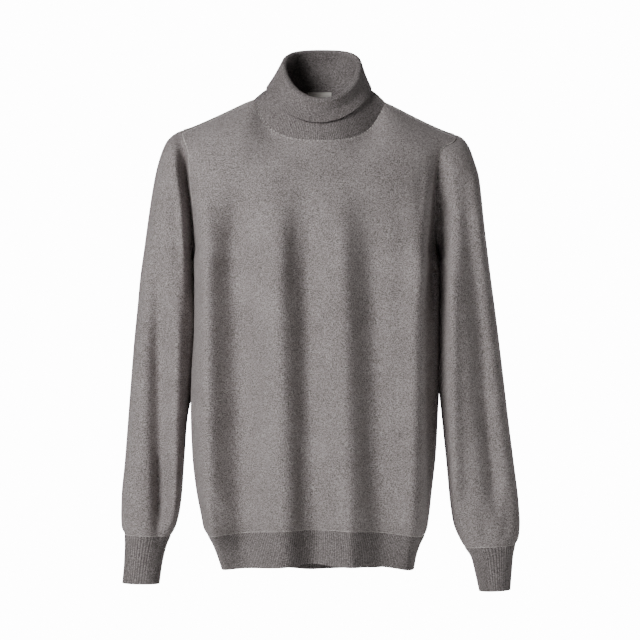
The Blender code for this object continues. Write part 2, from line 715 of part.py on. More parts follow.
def main():
    clear_scene()
    collection = bpy.data.collections.new("turtleneck_sweater")
    bpy.context.scene.collection.children.link(collection)
    yarn = cloth_material("heather_wool_knit", YARN_GREY, 0.95)
    tape = cloth_material("label_tape", LABEL_GREY, 0.7)

    levels = range(YOKE + 1)
    yoke_shares = np.linspace(0, 1, YOKE_ROWS + 1)[1:]
    neck_columns = {"front": FRONT_NECK_COLUMNS, "back": BACK_NECK_COLUMNS}
    grids = {}
    normals = {}
    for face, count in neck_columns.items():
        grids[face] = body_panel(face, levels, yoke_shares, across_places(count))
        normals[face] = outward(grids[face])
    share_body_seams(normals)

    hidden, collar_normal = collar_grids(points_at(grids, neck_places()), normals)
    sleeves = (
        ("left", -1, LEFT_RINGS, LEFT_CUFF, LEFT_SLEEVE_FOLDS),
        ("right", 1, RIGHT_RINGS, RIGHT_CUFF, RIGHT_SLEEVE_FOLDS),
    )
    for name, side, rings, cuff, folds in sleeves:
        places = armhole_places(len(grids["front"]), side)
        grid = tube(rings + cuff, points_at(grids, places), side, folds)
        normal = outward(grid, closed=True) * -side
        normal[0] = share_with_panels(normals, places, normal[0])
        build_sleeve(name, side, grid, normal, len(rings) - 1, yarn, collection)
    build_body(grids, normals, yarn, collection)
    shown = build_collar(hidden, collar_normal, yarn, collection)
    build_label(shown, tape, collection)


main()
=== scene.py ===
"""Looks of a fine-gauge roll-neck sweater, hollow and filled out as on a wearer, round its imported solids.

Sizes and tables of the sweater are in millimetres and are turned to metres when a mesh is made. Flat
cuts, the stage and the settings are in metres. +Z is up, the front faces -Y and +X is the viewer's
right. Each piece of cloth follows its solid's surface at a finer step, with a thinner wall, real ribs,
deeper folds, small creases and knitted materials.
"""

import math
from collections import namedtuple

import bpy
import numpy as np
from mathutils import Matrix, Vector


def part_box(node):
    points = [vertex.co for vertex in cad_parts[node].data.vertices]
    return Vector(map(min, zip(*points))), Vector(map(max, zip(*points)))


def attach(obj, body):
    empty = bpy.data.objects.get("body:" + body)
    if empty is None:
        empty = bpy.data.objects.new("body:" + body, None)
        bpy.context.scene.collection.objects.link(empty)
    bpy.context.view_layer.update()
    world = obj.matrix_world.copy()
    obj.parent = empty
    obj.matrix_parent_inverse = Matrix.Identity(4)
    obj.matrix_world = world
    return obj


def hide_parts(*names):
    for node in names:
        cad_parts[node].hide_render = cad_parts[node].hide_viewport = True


bl_info = {
    "name": "Roll-neck sweater",
    "version": (1, 0, 0),
    "blender": (4, 5, 0),
    "location": "View3D > Sidebar > Sweater",
    "description": "Dresses the packed solids of a knitted roll-neck sweater",
    "category": "Object",
}

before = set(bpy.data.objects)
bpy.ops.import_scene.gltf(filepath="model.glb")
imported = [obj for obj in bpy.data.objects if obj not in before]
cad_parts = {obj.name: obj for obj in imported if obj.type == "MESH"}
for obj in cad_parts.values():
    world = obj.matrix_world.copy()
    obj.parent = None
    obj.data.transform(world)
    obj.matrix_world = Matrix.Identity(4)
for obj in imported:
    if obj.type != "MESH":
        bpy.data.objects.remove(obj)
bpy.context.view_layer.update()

MM = 0.001
# Wall of the solids, thicker than the shown cloth.
CLOTH = 2.0
# A level is a row of the body. Height and edges are at the side seam or armhole, and front and back
# are at the middle of each panel. Wrap is how far the section turns round the side, 1 for all of it.
# The two by the armpit are a little wider than the solids', so that no light passes under the arms.
Level = namedtuple(
    "Level",
    "height left right front_edge back_edge front_height front back_height back wrap square",
)
LEVELS = [
    Level(-693, -143, 141, 6, 6, -684, -96, -702, 104, 1, 3.0),
    Level(-672, -150, 145, 6, 6, -662, -99, -680, 107, 1, 3.0),
    Level(-655, -157, 151, 6, 6, -643, -103, -662, 111, 1, 3.0),
    Level(-643, -164, 157, 6, 6, -630, -108, -650, 116, 1, 3.0),
    Level(-632, -170, 161, 6, 6, -619, -112, -638, 119, 1, 3.0),
    Level(-612, -174, 164, 6, 6, -600, -115, -617, 121, 1, 3.0),
    Level(-575, -181, 168, 6, 6, -566, -117, -579, 121, 1, 3.0),
    Level(-520, -187, 174, 6, 6, -514, -115, -523, 117, 1, 3.0),
    Level(-460, -189, 177, 6, 6, -457, -112, -462, 110, 1, 3.0),
    Level(-400, -187.5, 180, 6, 6, -399, -111, -401, 104, 1, 3.0),
    Level(-340, -184, 180.5, 6, 6, -340, -112, -340, 101, 1, 3.0),
    Level(-285, -183.5, 180.5, 6, 6, -285, -114, -285, 102, 1, 3.0),
    Level(-235, -184.6, 177.8, 6, 6, -235, -114, -235, 105, 1, 2.8),
    Level(-200, -182.5, 173, -27, 44, -203, -113, -198, 108, 0.985, 2.8),
    Level(-162, -184, 172, -44, 63, -170, -110, -158, 109, 0.965, 2.8),
    Level(-124, -188, 172.5, -51, 72, -140, -105, -118, 105, 0.94, 2.8),
    Level(-86, -190.5, 176, -50, 73, -112, -98, -78, 98, 0.91, 2.8),
]
# Rows of the table at the hem seam, at the armpit and where the yoke starts.
HEM_SEAM = 3
ARMPIT = 12
YOKE = 16
# Middle of the neck and shoulders across.
BODY_MIDDLE = 1.5

# Half of the neckline, from the high point of the shoulder to the middle. Rise is the slope, in
# degrees, at which the panel runs up into the seam.
Neck = namedtuple("Neck", "across depth height rise")
FRONT_NECK = [
    Neck(97, -14, -1, 32),
    Neck(88, -29, -20, 45),
    Neck(73, -48, -43, 57),
    Neck(49, -67, -57.5, 65),
    Neck(25, -78, -62.5, 69),
    Neck(0, -82, -64, 70),
]
BACK_NECK = [
    Neck(97, -14, -1, -32),
    Neck(93, 8, 5, 5),
    Neck(80, 32, 7, 25),
    Neck(60, 50, 7, 48),
    Neck(30, 61, 7, 62),
    Neck(0, 65, 7, 68),
]
# The neckline's share of a panel's top edge, and the outer ends of the shoulder seams by side.
NECK_SHARE = 0.6
SHOULDER_TIPS = {-1: (-200, -18, -50), 1: (202, -18, -57)}
SHOULDER_RISE = 32
# How far the high point of each shoulder is down from the table, and the sag of the seam beyond it.
SHOULDER_DROP = {-1: 0, 1: 4}
SHOULDER_SAG = {-1: 1.5, 1: 2}
# How fully the yoke bows out, how often its rows are evened out, and how many rows below it take part.
YOKE_FULLNESS = 1.1
YOKE_EVENING = 60
YOKE_BLEND = 4
# Part of a level, over which the direction of the cloth is taken.
LEVEL_STEP = 0.1
SECTION_SAMPLES = 120

# Soft lengthwise folds of the body. The middle runs from high to low across the panel, a negative
# depth is a ridge. The fold fades in between its start and its full height, and has died away by
# its end. Those by a panel's sides and on the sleeves are deeper than the solids' folds or moved a little
# from them, and the last front one isn't in the solids.
Fold = namedtuple("Fold", "high low width depth start full end")
FRONT_FOLDS = [
    Fold(-121, -108, 26, 20, -95, -240, -900),
    Fold(-168, -162, 20, -16, -95, -240, -900),
    Fold(-60, -48, 21, -9, -110, -260, -900),
    Fold(-21, -9, 21, 12, -110, -260, -900),
    Fold(34, 48, 18, -8, -110, -260, -900),
    Fold(73, 88, 25, 12, -105, -260, -900),
    Fold(146, 142, 19, -14, -105, -240, -900),
    Fold(168, 162, 11, 7, -150, -260, -620),
]
BACK_FOLDS = [
    Fold(-104, -92, 21, 9, -190, -400, -900),
    Fold(-52, -50, 24, -4, -260, -420, -900),
    Fold(-6, -14, 18, 10, -230, -430, -900),
    Fold(44, 42, 22, -3, -260, -430, -900),
    Fold(98, 86, 20, 10, -170, -390, -900),
]
FOLD_HIGH = -150
FOLD_LOW = -640
FOLD_ENDING = 90
# How squarely the cloth faces forward or back where a fold starts to press in and where it is whole.
FOLD_FACING = (0.1, 0.6)

# A ring of a sleeve or cuff, seen edge-on from the front as a line from its outer to its inner side.
# Round says how far it has left the armhole's own shape for a plain oval.
Ring = namedtuple("Ring", "outer outer_height inner inner_height middle half_depth round")
LEFT_RINGS = [
    Ring(-200, -44, -182.5, -235, 12, 64, 0),
    Ring(-213, -50, -184, -238, 12, 65, 0.05),
    Ring(-224, -59, -184.5, -241, 12, 66, 0.15),
    Ring(-232, -74, -185, -245, 13, 66, 0.3),
    Ring(-241, -103, -184.5, -250, 15, 66, 0.5),
    Ring(-247.5, -137, -183.5, -256, 18, 65, 0.7),
    Ring(-253.5, -176, -182, -265, 22, 64, 0.85),
    Ring(-259.5, -219, -180, -279, 26, 63, 0.95),
    Ring(-265.5, -262, -177.5, -300, 28, 61, 1),
    Ring(-270, -309, -176.5, -327, 29, 59, 1),
    Ring(-274.5, -355, -178, -361, 28, 56, 1),
    Ring(-279, -414, -183.5, -415, 24, 52, 1),
    Ring(-283, -474, -194.5, -474, 15, 48, 1),
    Ring(-287, -533, -198.5, -533, 6, 43, 1),
    Ring(-291.5, -585, -202, -585, -1, 40, 1),
    Ring(-292, -612, -206, -613, -4, 39, 1),
    Ring(-291, -631, -211.5, -632, -6, 38, 1),
    Ring(-286.5, -642, -218, -644, -8, 36, 1),
]
RIGHT_RINGS = [
    Ring(202, -51, 176, -235, 12, 64, 0),
    Ring(214.5, -57, 177.5, -238, 11, 65, 0.05),
    Ring(224, -70, 178, -241, 9, 66, 0.15),
    Ring(230.5, -88, 178, -245, 5, 66, 0.3),
    Ring(237.5, -112, 178, -250, 0, 66, 0.5),
    Ring(241, -142, 178, -256, -5, 65, 0.7),
    Ring(244.5, -180, 178, -265, -11, 64, 0.85),
    Ring(249, -222, 177.5, -279, -17, 63, 0.95),
    Ring(254, -264, 177.5, -300, -22, 61, 1),
    Ring(260, -311, 177.5, -327, -26, 58, 1),
    Ring(265.5, -355, 177, -361, -28, 54, 1),
    Ring(272.5, -414, 176.5, -415, -29, 49, 1),
    Ring(279.5, -474, 181.5, -474, -30, 44, 1),
    Ring(287, -533, 187.5, -533, -31, 40, 1),
    Ring(294, -590, 193, -592, -32, 37, 1),
    Ring(296, -622, 198, -624, -33, 36, 1),
    Ring(294.5, -643, 207, -646, -34, 35.5, 1),
    Ring(289.5, -655, 214.5, -659, -34, 35, 1),
]
LEFT_CUFF = [
    Ring(-286, -658, -225, -660, -8, 31.5, 1),
    Ring(-287, -684, -231, -686, -9, 29.5, 1),
    Ring(-289.5, -713.5, -235, -714.5, -10, 29, 1),
]
RIGHT_CUFF = [
    Ring(286, -670, 224, -673, -34, 32, 1),
    Ring(283.5, -696, 230.5, -698, -35, 30.5, 1),
    Ring(281.5, -721, 236, -723, -36, 30, 1),
]
# A sleeve that hangs against the body clears it by these lengths at these heights, and turns away from
# it in a bend that grows to its full size between them. Just under the armhole the pull draws its inner
# side in. It is whole at its own height, gone at the lower one of the two, and fades over its reach.
SLEEVE_CLEAR = (0.5, 0.3)
SLEEVE_CLEAR_HEIGHTS = (-236, -280)
SLEEVE_BEND = 0.8
ARMPIT_PULL = 2.2
ARMPIT_PULL_HEIGHT = -238
ARMPIT_PULL_REACH = 8.0
# Squareness of a sleeve's oval, 2 for an ellipse.
RING_SQUARE = 2.15
LEFT_SLEEVE_FOLDS = [
    Fold(-238, -233, 13, 10, -130, -420, -680),
    Fold(-204, -206, 12, -7, -200, -420, -660),
]
RIGHT_SLEEVE_FOLDS = [
    Fold(216, 262, 14, 8, -80, -180, -640),
    Fold(190, 197, 14, -9, -150, -300, -640),
]

# The collar's loops, on the side that faces in on the stand and out on the turned-down layer.
# Height goes from front to side to back.
Loop = namedtuple("Loop", "middle half_width front back front_height side_height back_height")
CREST = Loop(4.5, 56, -66, 50, -2, 53, 78.5)
EDGE = Loop(0.5, 78, -80, 70, -38, 16, 22)
CREST_RADIUS = 4.0
# How far inside the turned-down edge the stand passes, and how far it bulges on its way there.
STAND_CLEAR = 1.4
STAND_BULGE = 0.8
# Steps over the crest, in degrees, and how far it rolls forward at the front.
CREST_TURNS = [0, 45, 90, 135, 180]
FRONT_ROLL = 9.0
# How far the turned-down layer sags in all round and at the front, and the tilt of its edge.
LAYER_SAG = 1.0
FRONT_SAG = 4.0
EDGE_TILT = 0.4

# Columns and rows of the solids, which the finer grids split into whole numbers of steps.
SHOULDER_COLUMNS = 8
FRONT_NECK_COLUMNS = 20
BACK_NECK_COLUMNS = 14
YOKE_ROWS = 6
ARMHOLE_STEPS = 2 * (YOKE - ARMPIT + YOKE_ROWS)
SHOULDER_SPLIT = 4
FRONT_NECK_SPLIT = 5
BACK_NECK_SPLIT = 7
YOKE_SPLIT = 5
CLOTH_STEP = 3.4
COLLAR_STEP = 2.5
SHARP_ANGLE = 60

# The height of a seam's dip or step and how far it reaches into the cloth. The armhole's step grows
# from nothing at the armpit over its rise, and a sleeve's creases fade out over the guard beside it.
SEAM_DIP = 0.5
SEAM_REACH = 2.4
ARMHOLE_STEP = 1.0
ARMHOLE_REACH = 5.0
ARMHOLE_STEP_RISE = 50
ARMHOLE_GUARD = 3.5

# Small creases of the photo's side and like ones on the hidden sides. A crease runs from one place to
# another as seen from the front, bowed to its left by so much, and a ridge has a negative depth. The
# first of the front and of the left sleeve are the deep grooves beside the armholes.
Crease = namedtuple("Crease", "from_x from_z to_x to_z bow width depth")
# The low lips beside a crease, as shares of its depth and width, and the share of its length over
# which it fades out at each end.
LIP_HEIGHT = 0.3
LIP_PLACE = 2.0
CREASE_ENDING = 0.35
# Soft cloth falls into its folds more deeply than the stiff solids do.
BODY_DEEPER = 1.4
SLEEVE_DEEPER = 2.0
FRONT_CREASES = [
    Crease(177, -70, 163, -340, 0, 8, 19.0),
    Crease(-172, -92, -150, -190, 6, 9, 1.6),
    Crease(166, -84, 152, -196, -6, 10, 2.0),
    Crease(-168, -560, -140, -640, 4, 9, 2.2),
    Crease(-28, -470, -24, -690, 0, 7, 2.4),
    Crease(-34, -150, -42, -330, 0, 8, 1.8),
    Crease(66, -430, 76, -640, 0, 9, 2.0),
    Crease(-120, -120, -138, -300, 4, 10, 1.6),
    Crease(30, -600, 38, -690, 0, 8, 1.2),
]
BACK_CREASES = [
    Crease(-150, -100, -128, -230, 8, 11, 2.2),
    Crease(152, -100, 130, -230, -8, 11, 2.2),
    Crease(-60, -90, -20, -150, 10, 14, 1.4),
    Crease(64, -90, 24, -150, -10, 14, 1.4),
    Crease(-40, -480, -32, -680, 0, 10, 2.4),
    Crease(72, -470, 60, -680, 0, 10, 2.2),
    Crease(-120, -420, -112, -660, 3, 10, 2.0),
]
LEFT_SLEEVE_CREASES = [
    Crease(-207, -30, -180, -330, 8, 7.5, 28.0),
    Crease(-238, -500, -237, -652, 0, 4.5, 8.0),
    Crease(-286, -585, -281, -650, 2, 5, 1.6),
    Crease(-214, -60, -206, -200, 8, 10, 2.2),
    Crease(-226, -300, -238, -470, -6, 12, 1.6),
]
RIGHT_SLEEVE_CREASES = [
    Crease(226, -330, 232, -540, 4, 10, 2.0),
    Crease(238, -590, 246, -655, 0, 7, 1.8),
    Crease(206, -110, 200, -230, -6, 9, 1.6),
    Crease(276, -560, 272, -655, 2, 6, 1.6),
]
SLEEVE_BACK_CREASES = [
    Crease(-246, -180, -252, -460, 5, 14, 5.0),
    Crease(-236, -440, -250, -640, -4, 10, 3.4),
    Crease(240, -180, 250, -460, -5, 14, 5.0),
    Crease(246, -440, 258, -650, 4, 10, 3.4),
]

# What each panel and each sleeve is made from.
Face = namedtuple("Face", "neck_columns folds creases facing")
FACES = {
    "front": Face(FRONT_NECK_COLUMNS * FRONT_NECK_SPLIT, FRONT_FOLDS, FRONT_CREASES, (0, -1, 0)),
    "back": Face(BACK_NECK_COLUMNS * BACK_NECK_SPLIT, BACK_FOLDS, BACK_CREASES, (0, 1, 0)),
}
Sleeve = namedtuple("Sleeve", "side rings cuff folds creases")
SLEEVES = {
    "left": Sleeve(-1, LEFT_RINGS, LEFT_CUFF, LEFT_SLEEVE_FOLDS, LEFT_SLEEVE_CREASES),
    "right": Sleeve(1, RIGHT_RINGS, RIGHT_CUFF, RIGHT_SLEEVE_FOLDS, RIGHT_SLEEVE_CREASES),
}

# Where the front hem lifts a little from the back one.
Lift = namedtuple("Lift", "across width rise")
HEM_LIFTS = [Lift(-11, 30, 5.0), Lift(92, 34, 2.5)]
HEM_LIFT_REACH = 34

# Linking stitches along the seams, and the narrowing marks beside the neckline. Wide and high are half
# of a stitch's width and height.
STITCH_WIDE = 0.7
STITCH_HIGH = 0.45
STITCH_SINK = 0.25
STITCH_POINTS = 4
STITCH_SIDES = 8
# Short stitches by the neckline, from the first to the last place each side of the middle, with their
# count a side, distance from the neckline and length.
NeckStitch = namedtuple("NeckStitch", "name first last count away long")
NECK_STITCHES = [
    NeckStitch("neck_linking", 0.012, 0.55, 26, 0.2, 2.2),
    NeckStitch("neck_narrowing", 0.3, 0.57, 9, 6.0, 2.6),
]

# Flat size of each node's piece in metres, and its area in square metres where it isn't a rectangle.
Cut = namedtuple("Cut", "width length area", defaults=[None])
# A cuff takes every second column of its sleeve's grid.
CUFF_EVERY = 2
# Places across a panel that are closer than this are one.
PLACE_SLACK = 1e-6
LABEL_COLUMNS = 13
LABEL_ROWS = 7
LABEL_CLEAR = 1.0
LABEL_THICK = 0.6
# The part of the collar's stand that carries the label: half its width, and its rows from the seam.
LABEL_REACH = 45
LABEL_STAND_ROWS = 20

# Grain of the yarn, in millimetres. The real stitches, about 1.3 mm, are too fine to show in the
# render, so wales and courses are drawn a little coarser.
FLECK = 1.5
STREAK_LONG = 6.0
STREAK_HIGH = 1.5
CLOUD = 45.0
WALE = 2.0
COURSE = 1.7
STITCH_LEAN = 0.55
STITCH_BUMP = 0.35
STITCH_RISE = 0.4
RIB_PITCH = 2.9
# How much flecks, streaks and clouds each change the tone, and the tones of the dark, middle and light
# fibre.
FLECK_SHARE = 1.75
STREAK_SHARE = 0.4
CLOUD_SHARE = 0.2
FIBRE_STOPS = (0.1, 0.5, 0.9)
# Brightness of the ribs beside the plain knit, and of the groove between two ribs beside them. The groove's
# darkness is painted shade, for the shade that falls between the ribs.
RIB_SHADE = 0.92
RIB_GROOVE_PAINTED_SHADE = 0.5
KNIT_FINISH = {"Roughness": 0.92, "Specular IOR Level": 0.2, "Sheen Weight": 0.18, "Sheen Roughness": 0.45}
# Linking yarn: length of a lit dash, which is a painted highlight, and the tones at which it starts and is
# whole.
HIGHLIGHT_DASH = 1.8
LINK_STOPS = (0.4, 0.55)
LINK_FINISH = {"Roughness": 0.9, "Sheen Weight": 0.3}
# A Wave texture turns by so many radians for each unit. The label's threads lie 2 pi times the thread
# value apart, coarser than real ones, so that they show.
WAVE_TURN = 20
TAPE_THREAD = 0.5
TAPE_WANDER = 0.4
TAPE_BUMP = 0.2
TAPE_RISE = 0.2
TAPE_ROUGHNESS = 0.55

# Stage, in metres. A paint has its name, colour, roughness and glow.
FLOOR_RADIUS = 3.2
FLOOR_HEIGHT = -1.15
FLOOR_SIDES = 96
FLOOR_PAINT = ("matt_white_paint", "#f4f4f2", 0.9, 0)
BACKDROP_RADIUS = 14
BACKDROP_SIDES = 48
BACKDROP_PAINT = ("white_backdrop_paper", "#ffffff", 1.0, 14)
WHITE = (1, 1, 1, 1)
# Place of each softbox and its width and height, by the setting that gives its power.
SOFTBOXES = {
    "key": ((-1.9, -2.22, 0.98), (1.3, 1.3)),
    "fill": ((3.16, -0.28, 0.13), (1.0, 1.0)),
    "back": ((0.9, 3.0, 0.4), (1.6, 1.6)),
}
AIM = (0, 0, -0.32)
# The camera's place across and up, and the width of its frame at the sweater's middle.
CAMERA_ACROSS = 0.0022
CAMERA_HEIGHT = -0.3256
FRAME_WIDTH = 0.9472


class YarnSettings(bpy.types.PropertyGroup):
    """Colours and thickness of the heathered yarn."""

    dark: bpy.props.StringProperty(
        name="Dark fibre", description="sRGB hex colour of the darkest fibre", default="#5a5453"
    )
    middle: bpy.props.StringProperty(
        name="Yarn", description="sRGB hex colour of the yarn as a whole", default="#8b8483"
    )
    light: bpy.props.StringProperty(
        name="Light fibre", description="sRGB hex colour of the lightest fibre", default="#bab3b3"
    )
    # The lit stitches of the seams are painted highlights on the linking yarn.
    link: bpy.props.StringProperty(
        name="Linking yarn", description="sRGB hex colour of the lit stitches of a seam", default="#cfc9c5"
    )
    label: bpy.props.StringProperty(
        name="Label tape", description="sRGB hex colour of the woven label", default="#d6d1cb"
    )
    cloth: bpy.props.FloatProperty(
        name="Cloth", description="Thickness of the knitted cloth", default=0.0014,
        min=0.0005, max=0.003, subtype="DISTANCE", unit="LENGTH",
    )
    rib_rise: bpy.props.FloatProperty(
        name="Rib height", description="How far each rib stands up", default=0.0005,
        min=0, max=0.0015, subtype="DISTANCE", unit="LENGTH",
    )


class StageSettings(bpy.types.PropertyGroup):
    """Lights, floor and camera."""

    key: bpy.props.FloatProperty(
        name="Key light", description="Power of the softbox at the front left", default=106,
        min=0, unit="POWER",
    )
    fill: bpy.props.FloatProperty(
        name="Fill light", description="Power of the weak light at the right", default=18,
        min=0, unit="POWER",
    )
    back: bpy.props.FloatProperty(
        name="Back light", description="Power of the light that only the back gets", default=60,
        min=0, unit="POWER",
    )
    around: bpy.props.FloatProperty(
        name="Room light", description="Strength of the even light from all round", default=0.03,
        min=0,
    )
    distance: bpy.props.FloatProperty(
        name="Camera distance", description="From the camera to the middle of the sweater",
        default=4.5, min=1, subtype="DISTANCE", unit="LENGTH",
    )


def linear_colour(code):
    """An sRGB hex code as linear red, green, blue and alpha."""
    parts = [int(code[place:place + 2], 16) / 255 for place in (1, 3, 5)]
    return [part / 12.92 if part <= 0.04045 else ((part + 0.055) / 1.055) ** 2.4 for part in parts] + [1]


def bridge(start, leaving, end, arriving, share):
    """Points a share of the way along a smooth line that leaves and arrives in the given directions."""
    point = start * (1 + 2 * share) * (1 - share) ** 2
    point = point + leaving * share * (1 - share) ** 2
    point = point + end * share**2 * (3 - 2 * share)
    return point + arriving * share**2 * (share - 1)


def smooth(keys, values, places):
    """Values at the given places of a curve through the keys that never overshoots them."""
    keys = np.asarray(keys, float)
    values = np.asarray(values, float).reshape(len(keys), -1)
    places = np.clip(np.atleast_1d(np.asarray(places, float)), keys[0], keys[-1])
    span = np.diff(keys)
    steep = np.diff(values, axis=0) / span[:, None]
    total = steep[:-1] + steep[1:]
    agree = steep[:-1] * steep[1:] > 0
    inner = np.where(agree, 2 * steep[:-1] * steep[1:] / np.where(agree, total, 1), 0)
    slope = np.concatenate([steep[:1], inner, steep[-1:]])
    row = np.clip(np.searchsorted(keys, places, side="right") - 1, 0, len(keys) - 2)
    step = span[row][:, None]
    along = (places - keys[row])[:, None] / step
    return bridge(values[row], slope[row] * step, values[row + 1], slope[row + 1] * step, along)


def run_length(line):
    """Length along a line of points, or up each column of a grid, at each point."""
    steps = np.linalg.norm(np.diff(line, axis=0), axis=-1)
    return np.concatenate([0 * steps[:1], np.cumsum(steps, axis=0)])


def table_row(table, place):
    """The table's row type, filled in for a place between its rows."""
    values = smooth(range(len(table)), table, place)[0]
    return type(table[0])(*values)


def section_half(middle, edge, wrap, square, places):
    """Points of half a section, at the given shares of its length from the middle to its edge."""
    last = math.asin(min(1.0, wrap ** (square / 2)))
    turn = np.linspace(0, last, SECTION_SAMPLES)
    reach = np.sin(turn) ** (2 / square)
    drop = 1 - np.maximum(np.cos(turn), 0) ** (2 / square)
    reach /= reach[-1]
    drop /= drop[-1]
    offset = np.subtract(edge, middle)
    points = np.stack([reach * offset[0], drop * offset[1], reach**2 * offset[2]], axis=1)
    length = run_length(points)
    picked = [np.interp(places, length / length[-1], points[:, axis]) for axis in range(3)]
    return np.add(middle, np.stack(picked, axis=1))


def body_section(face, level, across):
    """Points of a panel at one level, at places across it from -1 at the left to 1 at the right."""
    row = table_row(LEVELS, level)
    depth, height, edge_depth = [getattr(row, face + part) for part in ("", "_height", "_edge")]
    middle = ((row.left + row.right) / 2, depth, height)
    points = np.empty((len(across), 3))
    for edge, chosen in ((row.left, across <= 0), (row.right, across > 0)):
        corner = (edge, edge_depth, row.height)
        points[chosen] = section_half(middle, corner, row.wrap, row.square, abs(across[chosen]))
    return points


def top_edge(face, across):
    """The shoulder seams and neckline of a panel, and the direction in which it runs into them."""
    table = FRONT_NECK if face == "front" else BACK_NECK
    corners = np.array([row[:3] for row in table], float)
    length = run_length(corners)
    length /= length[-1]
    toward = 1 if face == "front" else -1
    shoulder_rise = SHOULDER_RISE * toward
    points = np.empty((len(across), 3))
    rises = np.empty(len(across))
    for index, place in enumerate(across):
        side = 1 if place > 0 else -1
        if abs(place) >= NECK_SHARE:
            share = (abs(place) - NECK_SHARE) / (1 - NECK_SHARE)
            neck_point = corners[0] * (side, 1, 1) + (BODY_MIDDLE, 0, -SHOULDER_DROP[side])
            points[index] = neck_point + share * (np.array(SHOULDER_TIPS[side]) - neck_point)
            points[index, 2] -= SHOULDER_SAG[side] * 4 * share * (1 - share)
            rises[index] = shoulder_rise
        else:
            row = smooth(length, table, 1 - abs(place) / NECK_SHARE)[0]
            drop = SHOULDER_DROP[side] * abs(place) / NECK_SHARE
            points[index] = (side * row[0] + BODY_MIDDLE, row[1], row[2] - drop)
            rises[index] = row[3]
    angle = np.radians(rises)
    heading = np.stack([np.zeros(len(across)), toward * np.cos(angle), np.sin(angle)], axis=1)
    return points, heading


def yoke(face, across, shares):
    """Rows of a panel from the yoke level to its top edge, at the given shares of the way."""
    start = body_section(face, YOKE, across)
    leaving = start - body_section(face, YOKE - LEVEL_STEP, across)
    leaving /= np.linalg.norm(leaving, axis=1, keepdims=True)
    end, arriving = top_edge(face, across)
    reach = np.linalg.norm(end - start, axis=1, keepdims=True) * YOKE_FULLNESS
    return np.stack([bridge(start, leaving * reach, end, arriving * reach, share) for share in shares])


def unit(vectors):
    """The vectors at length 1."""
    return vectors / np.maximum(np.linalg.norm(vectors, axis=-1, keepdims=True), 1e-9)


def slopes(grid, axis, closed):
    """The direction along one axis of a grid of points."""
    if closed:
        return np.roll(grid, -1, axis) - np.roll(grid, 1, axis)
    return np.gradient(grid, axis=axis)


def outward(grid, closed=False):
    """Unit normals of a grid whose columns run left to right and rows upwards, seen from outside."""
    return unit(np.cross(slopes(grid, 1, closed), slopes(grid, 0, False)))


def fade(places, start, full):
    """0 before the start, 1 past the full place, and smooth between them."""
    share = np.clip((places - start) / (full - start), 0, 1)
    return share**2 * (3 - 2 * share)


def seam_fade(distance, reach):
    """1 at a seam and near 0 past its reach."""
    return np.exp(-((distance / reach) ** 2))


def fold_depths(points, folds):
    """How deep the lengthwise folds press into the cloth at each point."""
    total = np.zeros(points.shape[:-1])
    share = np.clip((points[..., 2] - FOLD_HIGH) / (FOLD_LOW - FOLD_HIGH), 0, 1)
    for fold in folds:
        middle = fold.high + share * (fold.low - fold.high)
        shape = np.exp(-(((points[..., 0] - middle) / fold.width) ** 2))
        shape = shape * fade(points[..., 2], fold.end, fold.end + FOLD_ENDING)
        total += fold.depth * shape * fade(points[..., 2], fold.start, fold.full)
    return total


def press_in(grid, depths, facing, closed):
    """The grid pressed in by the given depths against the given way, where the cloth faces that way."""
    level_normal = unit(outward(grid, closed) * (1, 1, 0))
    seen = np.clip(level_normal @ np.asarray(facing, float), 0, 1)
    return grid - np.multiply.outer(depths * fade(seen, *FOLD_FACING), facing)


def even_rows(heights, step):
    """Row numbers that split each step of a table evenly, about so far apart."""
    rows = [0.0]
    for index, rise in enumerate(np.abs(np.diff(heights))):
        count = max(1, round(rise / step))
        rows += [index + place / count for place in range(1, count + 1)]
    return rows


def body_rows():
    """Row numbers of the fine body grid: levels, and past the yoke's level its steps up."""
    levels = even_rows([row.height for row in LEVELS], CLOTH_STEP)
    return levels + [YOKE + place / YOKE_SPLIT for place in range(1, YOKE_ROWS * YOKE_SPLIT + 1)]


def across_places(face):
    """Places across a panel, with the neck points on two of them."""
    outer = np.linspace(-1, -NECK_SHARE, SHOULDER_COLUMNS * SHOULDER_SPLIT + 1)
    neck = np.linspace(-NECK_SHARE, NECK_SHARE, FACES[face].neck_columns + 1)
    return np.concatenate([outer, neck[1:-1], -outer[::-1]])


def crease_depths(points, creases):
    """How deep the small creases press into the cloth at each point."""
    total = np.zeros(points.shape[:-1])
    for crease in creases:
        start = np.array([crease.from_x, crease.from_z], float)
        line = np.array([crease.to_x, crease.to_z], float) - start
        length = math.hypot(*line)
        line /= length
        offset = points[..., [0, 2]] - start
        share = np.clip(offset @ line / length, 0, 1)
        apart = offset @ np.array([-line[1], line[0]]) - crease.bow * 4 * share * (1 - share)
        near = np.abs(apart) / crease.width
        shape = np.exp(-(near**2)) - LIP_HEIGHT * np.exp(-((near - LIP_PLACE) ** 2))
        ends = fade(share, 0, CREASE_ENDING) * fade(1 - share, 0, CREASE_ENDING)
        total += crease.depth * shape * ends
    return total


def relax(grid, first):
    """The grid evened out from the first row to the last but one, so no crease runs from a corner."""
    result = grid.copy()
    for _ in range(YOKE_EVENING):
        beside = result[first:-1, :-2] + result[first:-1, 2:]
        beyond = result[first - 1:-2, 1:-1] + result[first + 1:, 1:-1]
        result[first:-1, 1:-1] = (result[first:-1, 1:-1] + (beside + beyond) / 4) / 2
    return result


